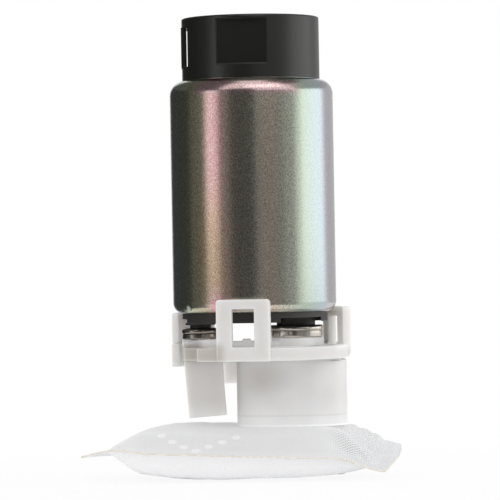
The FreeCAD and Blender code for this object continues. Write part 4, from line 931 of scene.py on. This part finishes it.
# %% Finishes of the inner pieces
hard_steel = metal("ground_steel", (0.62, 0.62, 0.63), 0.18, 0.5, 0.002, (1, 1, 6))
spring_steel = metal("spring_steel", (0.48, 0.48, 0.50), 0.25)
core_steel = metal("sheet_stack", (0.30, 0.30, 0.31), 0.38, 0.5, 0.03, (0.02, 0.02, 1))
copper = metal("enamelled_copper", (0.62, 0.26, 0.10), 0.24, 0.6, 0.03, (0.1, 0.1, 1))
bronze = metal("sintered_bronze", (0.52, 0.36, 0.18), 0.45, 0.15, 0.02)
tinned = metal("tinned_brass", (0.70, 0.68, 0.60), 0.22, 0.6, 0.003)
carbon = moulded("pressed_carbon", (0.018, 0.018, 0.020), 0.42, 0.1, 0.01)
ferrite = moulded("sintered_ferrite", (0.045, 0.045, 0.050), 0.65, 0.2, 0.03)
rubber = moulded("seal_rubber", (0.014, 0.014, 0.015), 0.62, 0.4, 0.008)
brown_resin = moulded("brown_resin", (0.11, 0.075, 0.045), 0.5)
impeller_resin = moulded("impeller_resin", (0.09, 0.045, 0.022), 0.42)
clear_nylon = moulded("spreader_nylon", (0.80, 0.80, 0.79), 0.45)

finishes = {
    "pump_casing": dark_resin, "impeller": impeller_resin, "casing_bush": bronze,
    "thrust_pin": hard_steel, "shaft": hard_steel, "armature_core": core_steel,
    "windings": copper, "commutator": carbon, "magnet_1": ferrite, "magnet_2": ferrite,
    "magnet_clip_1": spring_steel, "magnet_clip_2": spring_steel, "brush_holder": brown_resin,
    "top_bush": bronze, "brush_1": carbon, "brush_2": carbon, "choke_1": copper, "choke_2": copper,
    "terminal_1": tinned, "terminal_2": tinned, "outlet_seal": rubber, "check_seat": bronze,
    "check_valve": impeller_resin, "relief_ball": bright_steel, "relief_plug": bronze,
    "inlet_seal": rubber, "sock_spreader": clear_nylon,
}
for name, finish in finishes.items():
    data = nodes[name].data
    data.materials.clear()
    data.materials.append(finish)
print("inner pieces with a finish:", len(finishes))

# %% [markdown]
# ## Springs
# Each valve and each brush is pushed by a small coil spring. One end of a spring stays with
# the pump and the other end follows the moving piece, so the spring gets shorter as its joint
# moves. The imported model says which end stays. Here each coil is a merged copy of the
# imported one with smooth shading, which rides on the pump body and keeps its length.

# %% Springs
for joint in frame["joints"]:
    for row in joint.get("deforming_nodes", []):
        node, fixed_end = row["node"], row["fixed_end_z_m"]
        coil_mesh = bmesh.new()
        coil_mesh.from_mesh(nodes[node].data)
        bmesh.ops.remove_doubles(coil_mesh, verts=coil_mesh.verts, dist=merge_distance)
        coil = new_piece(node + "_coil", coil_mesh, spring_steel, "pump_body", node)
        coil.data.set_sharp_from_angle(angle=math.radians(50))
        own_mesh(coil)
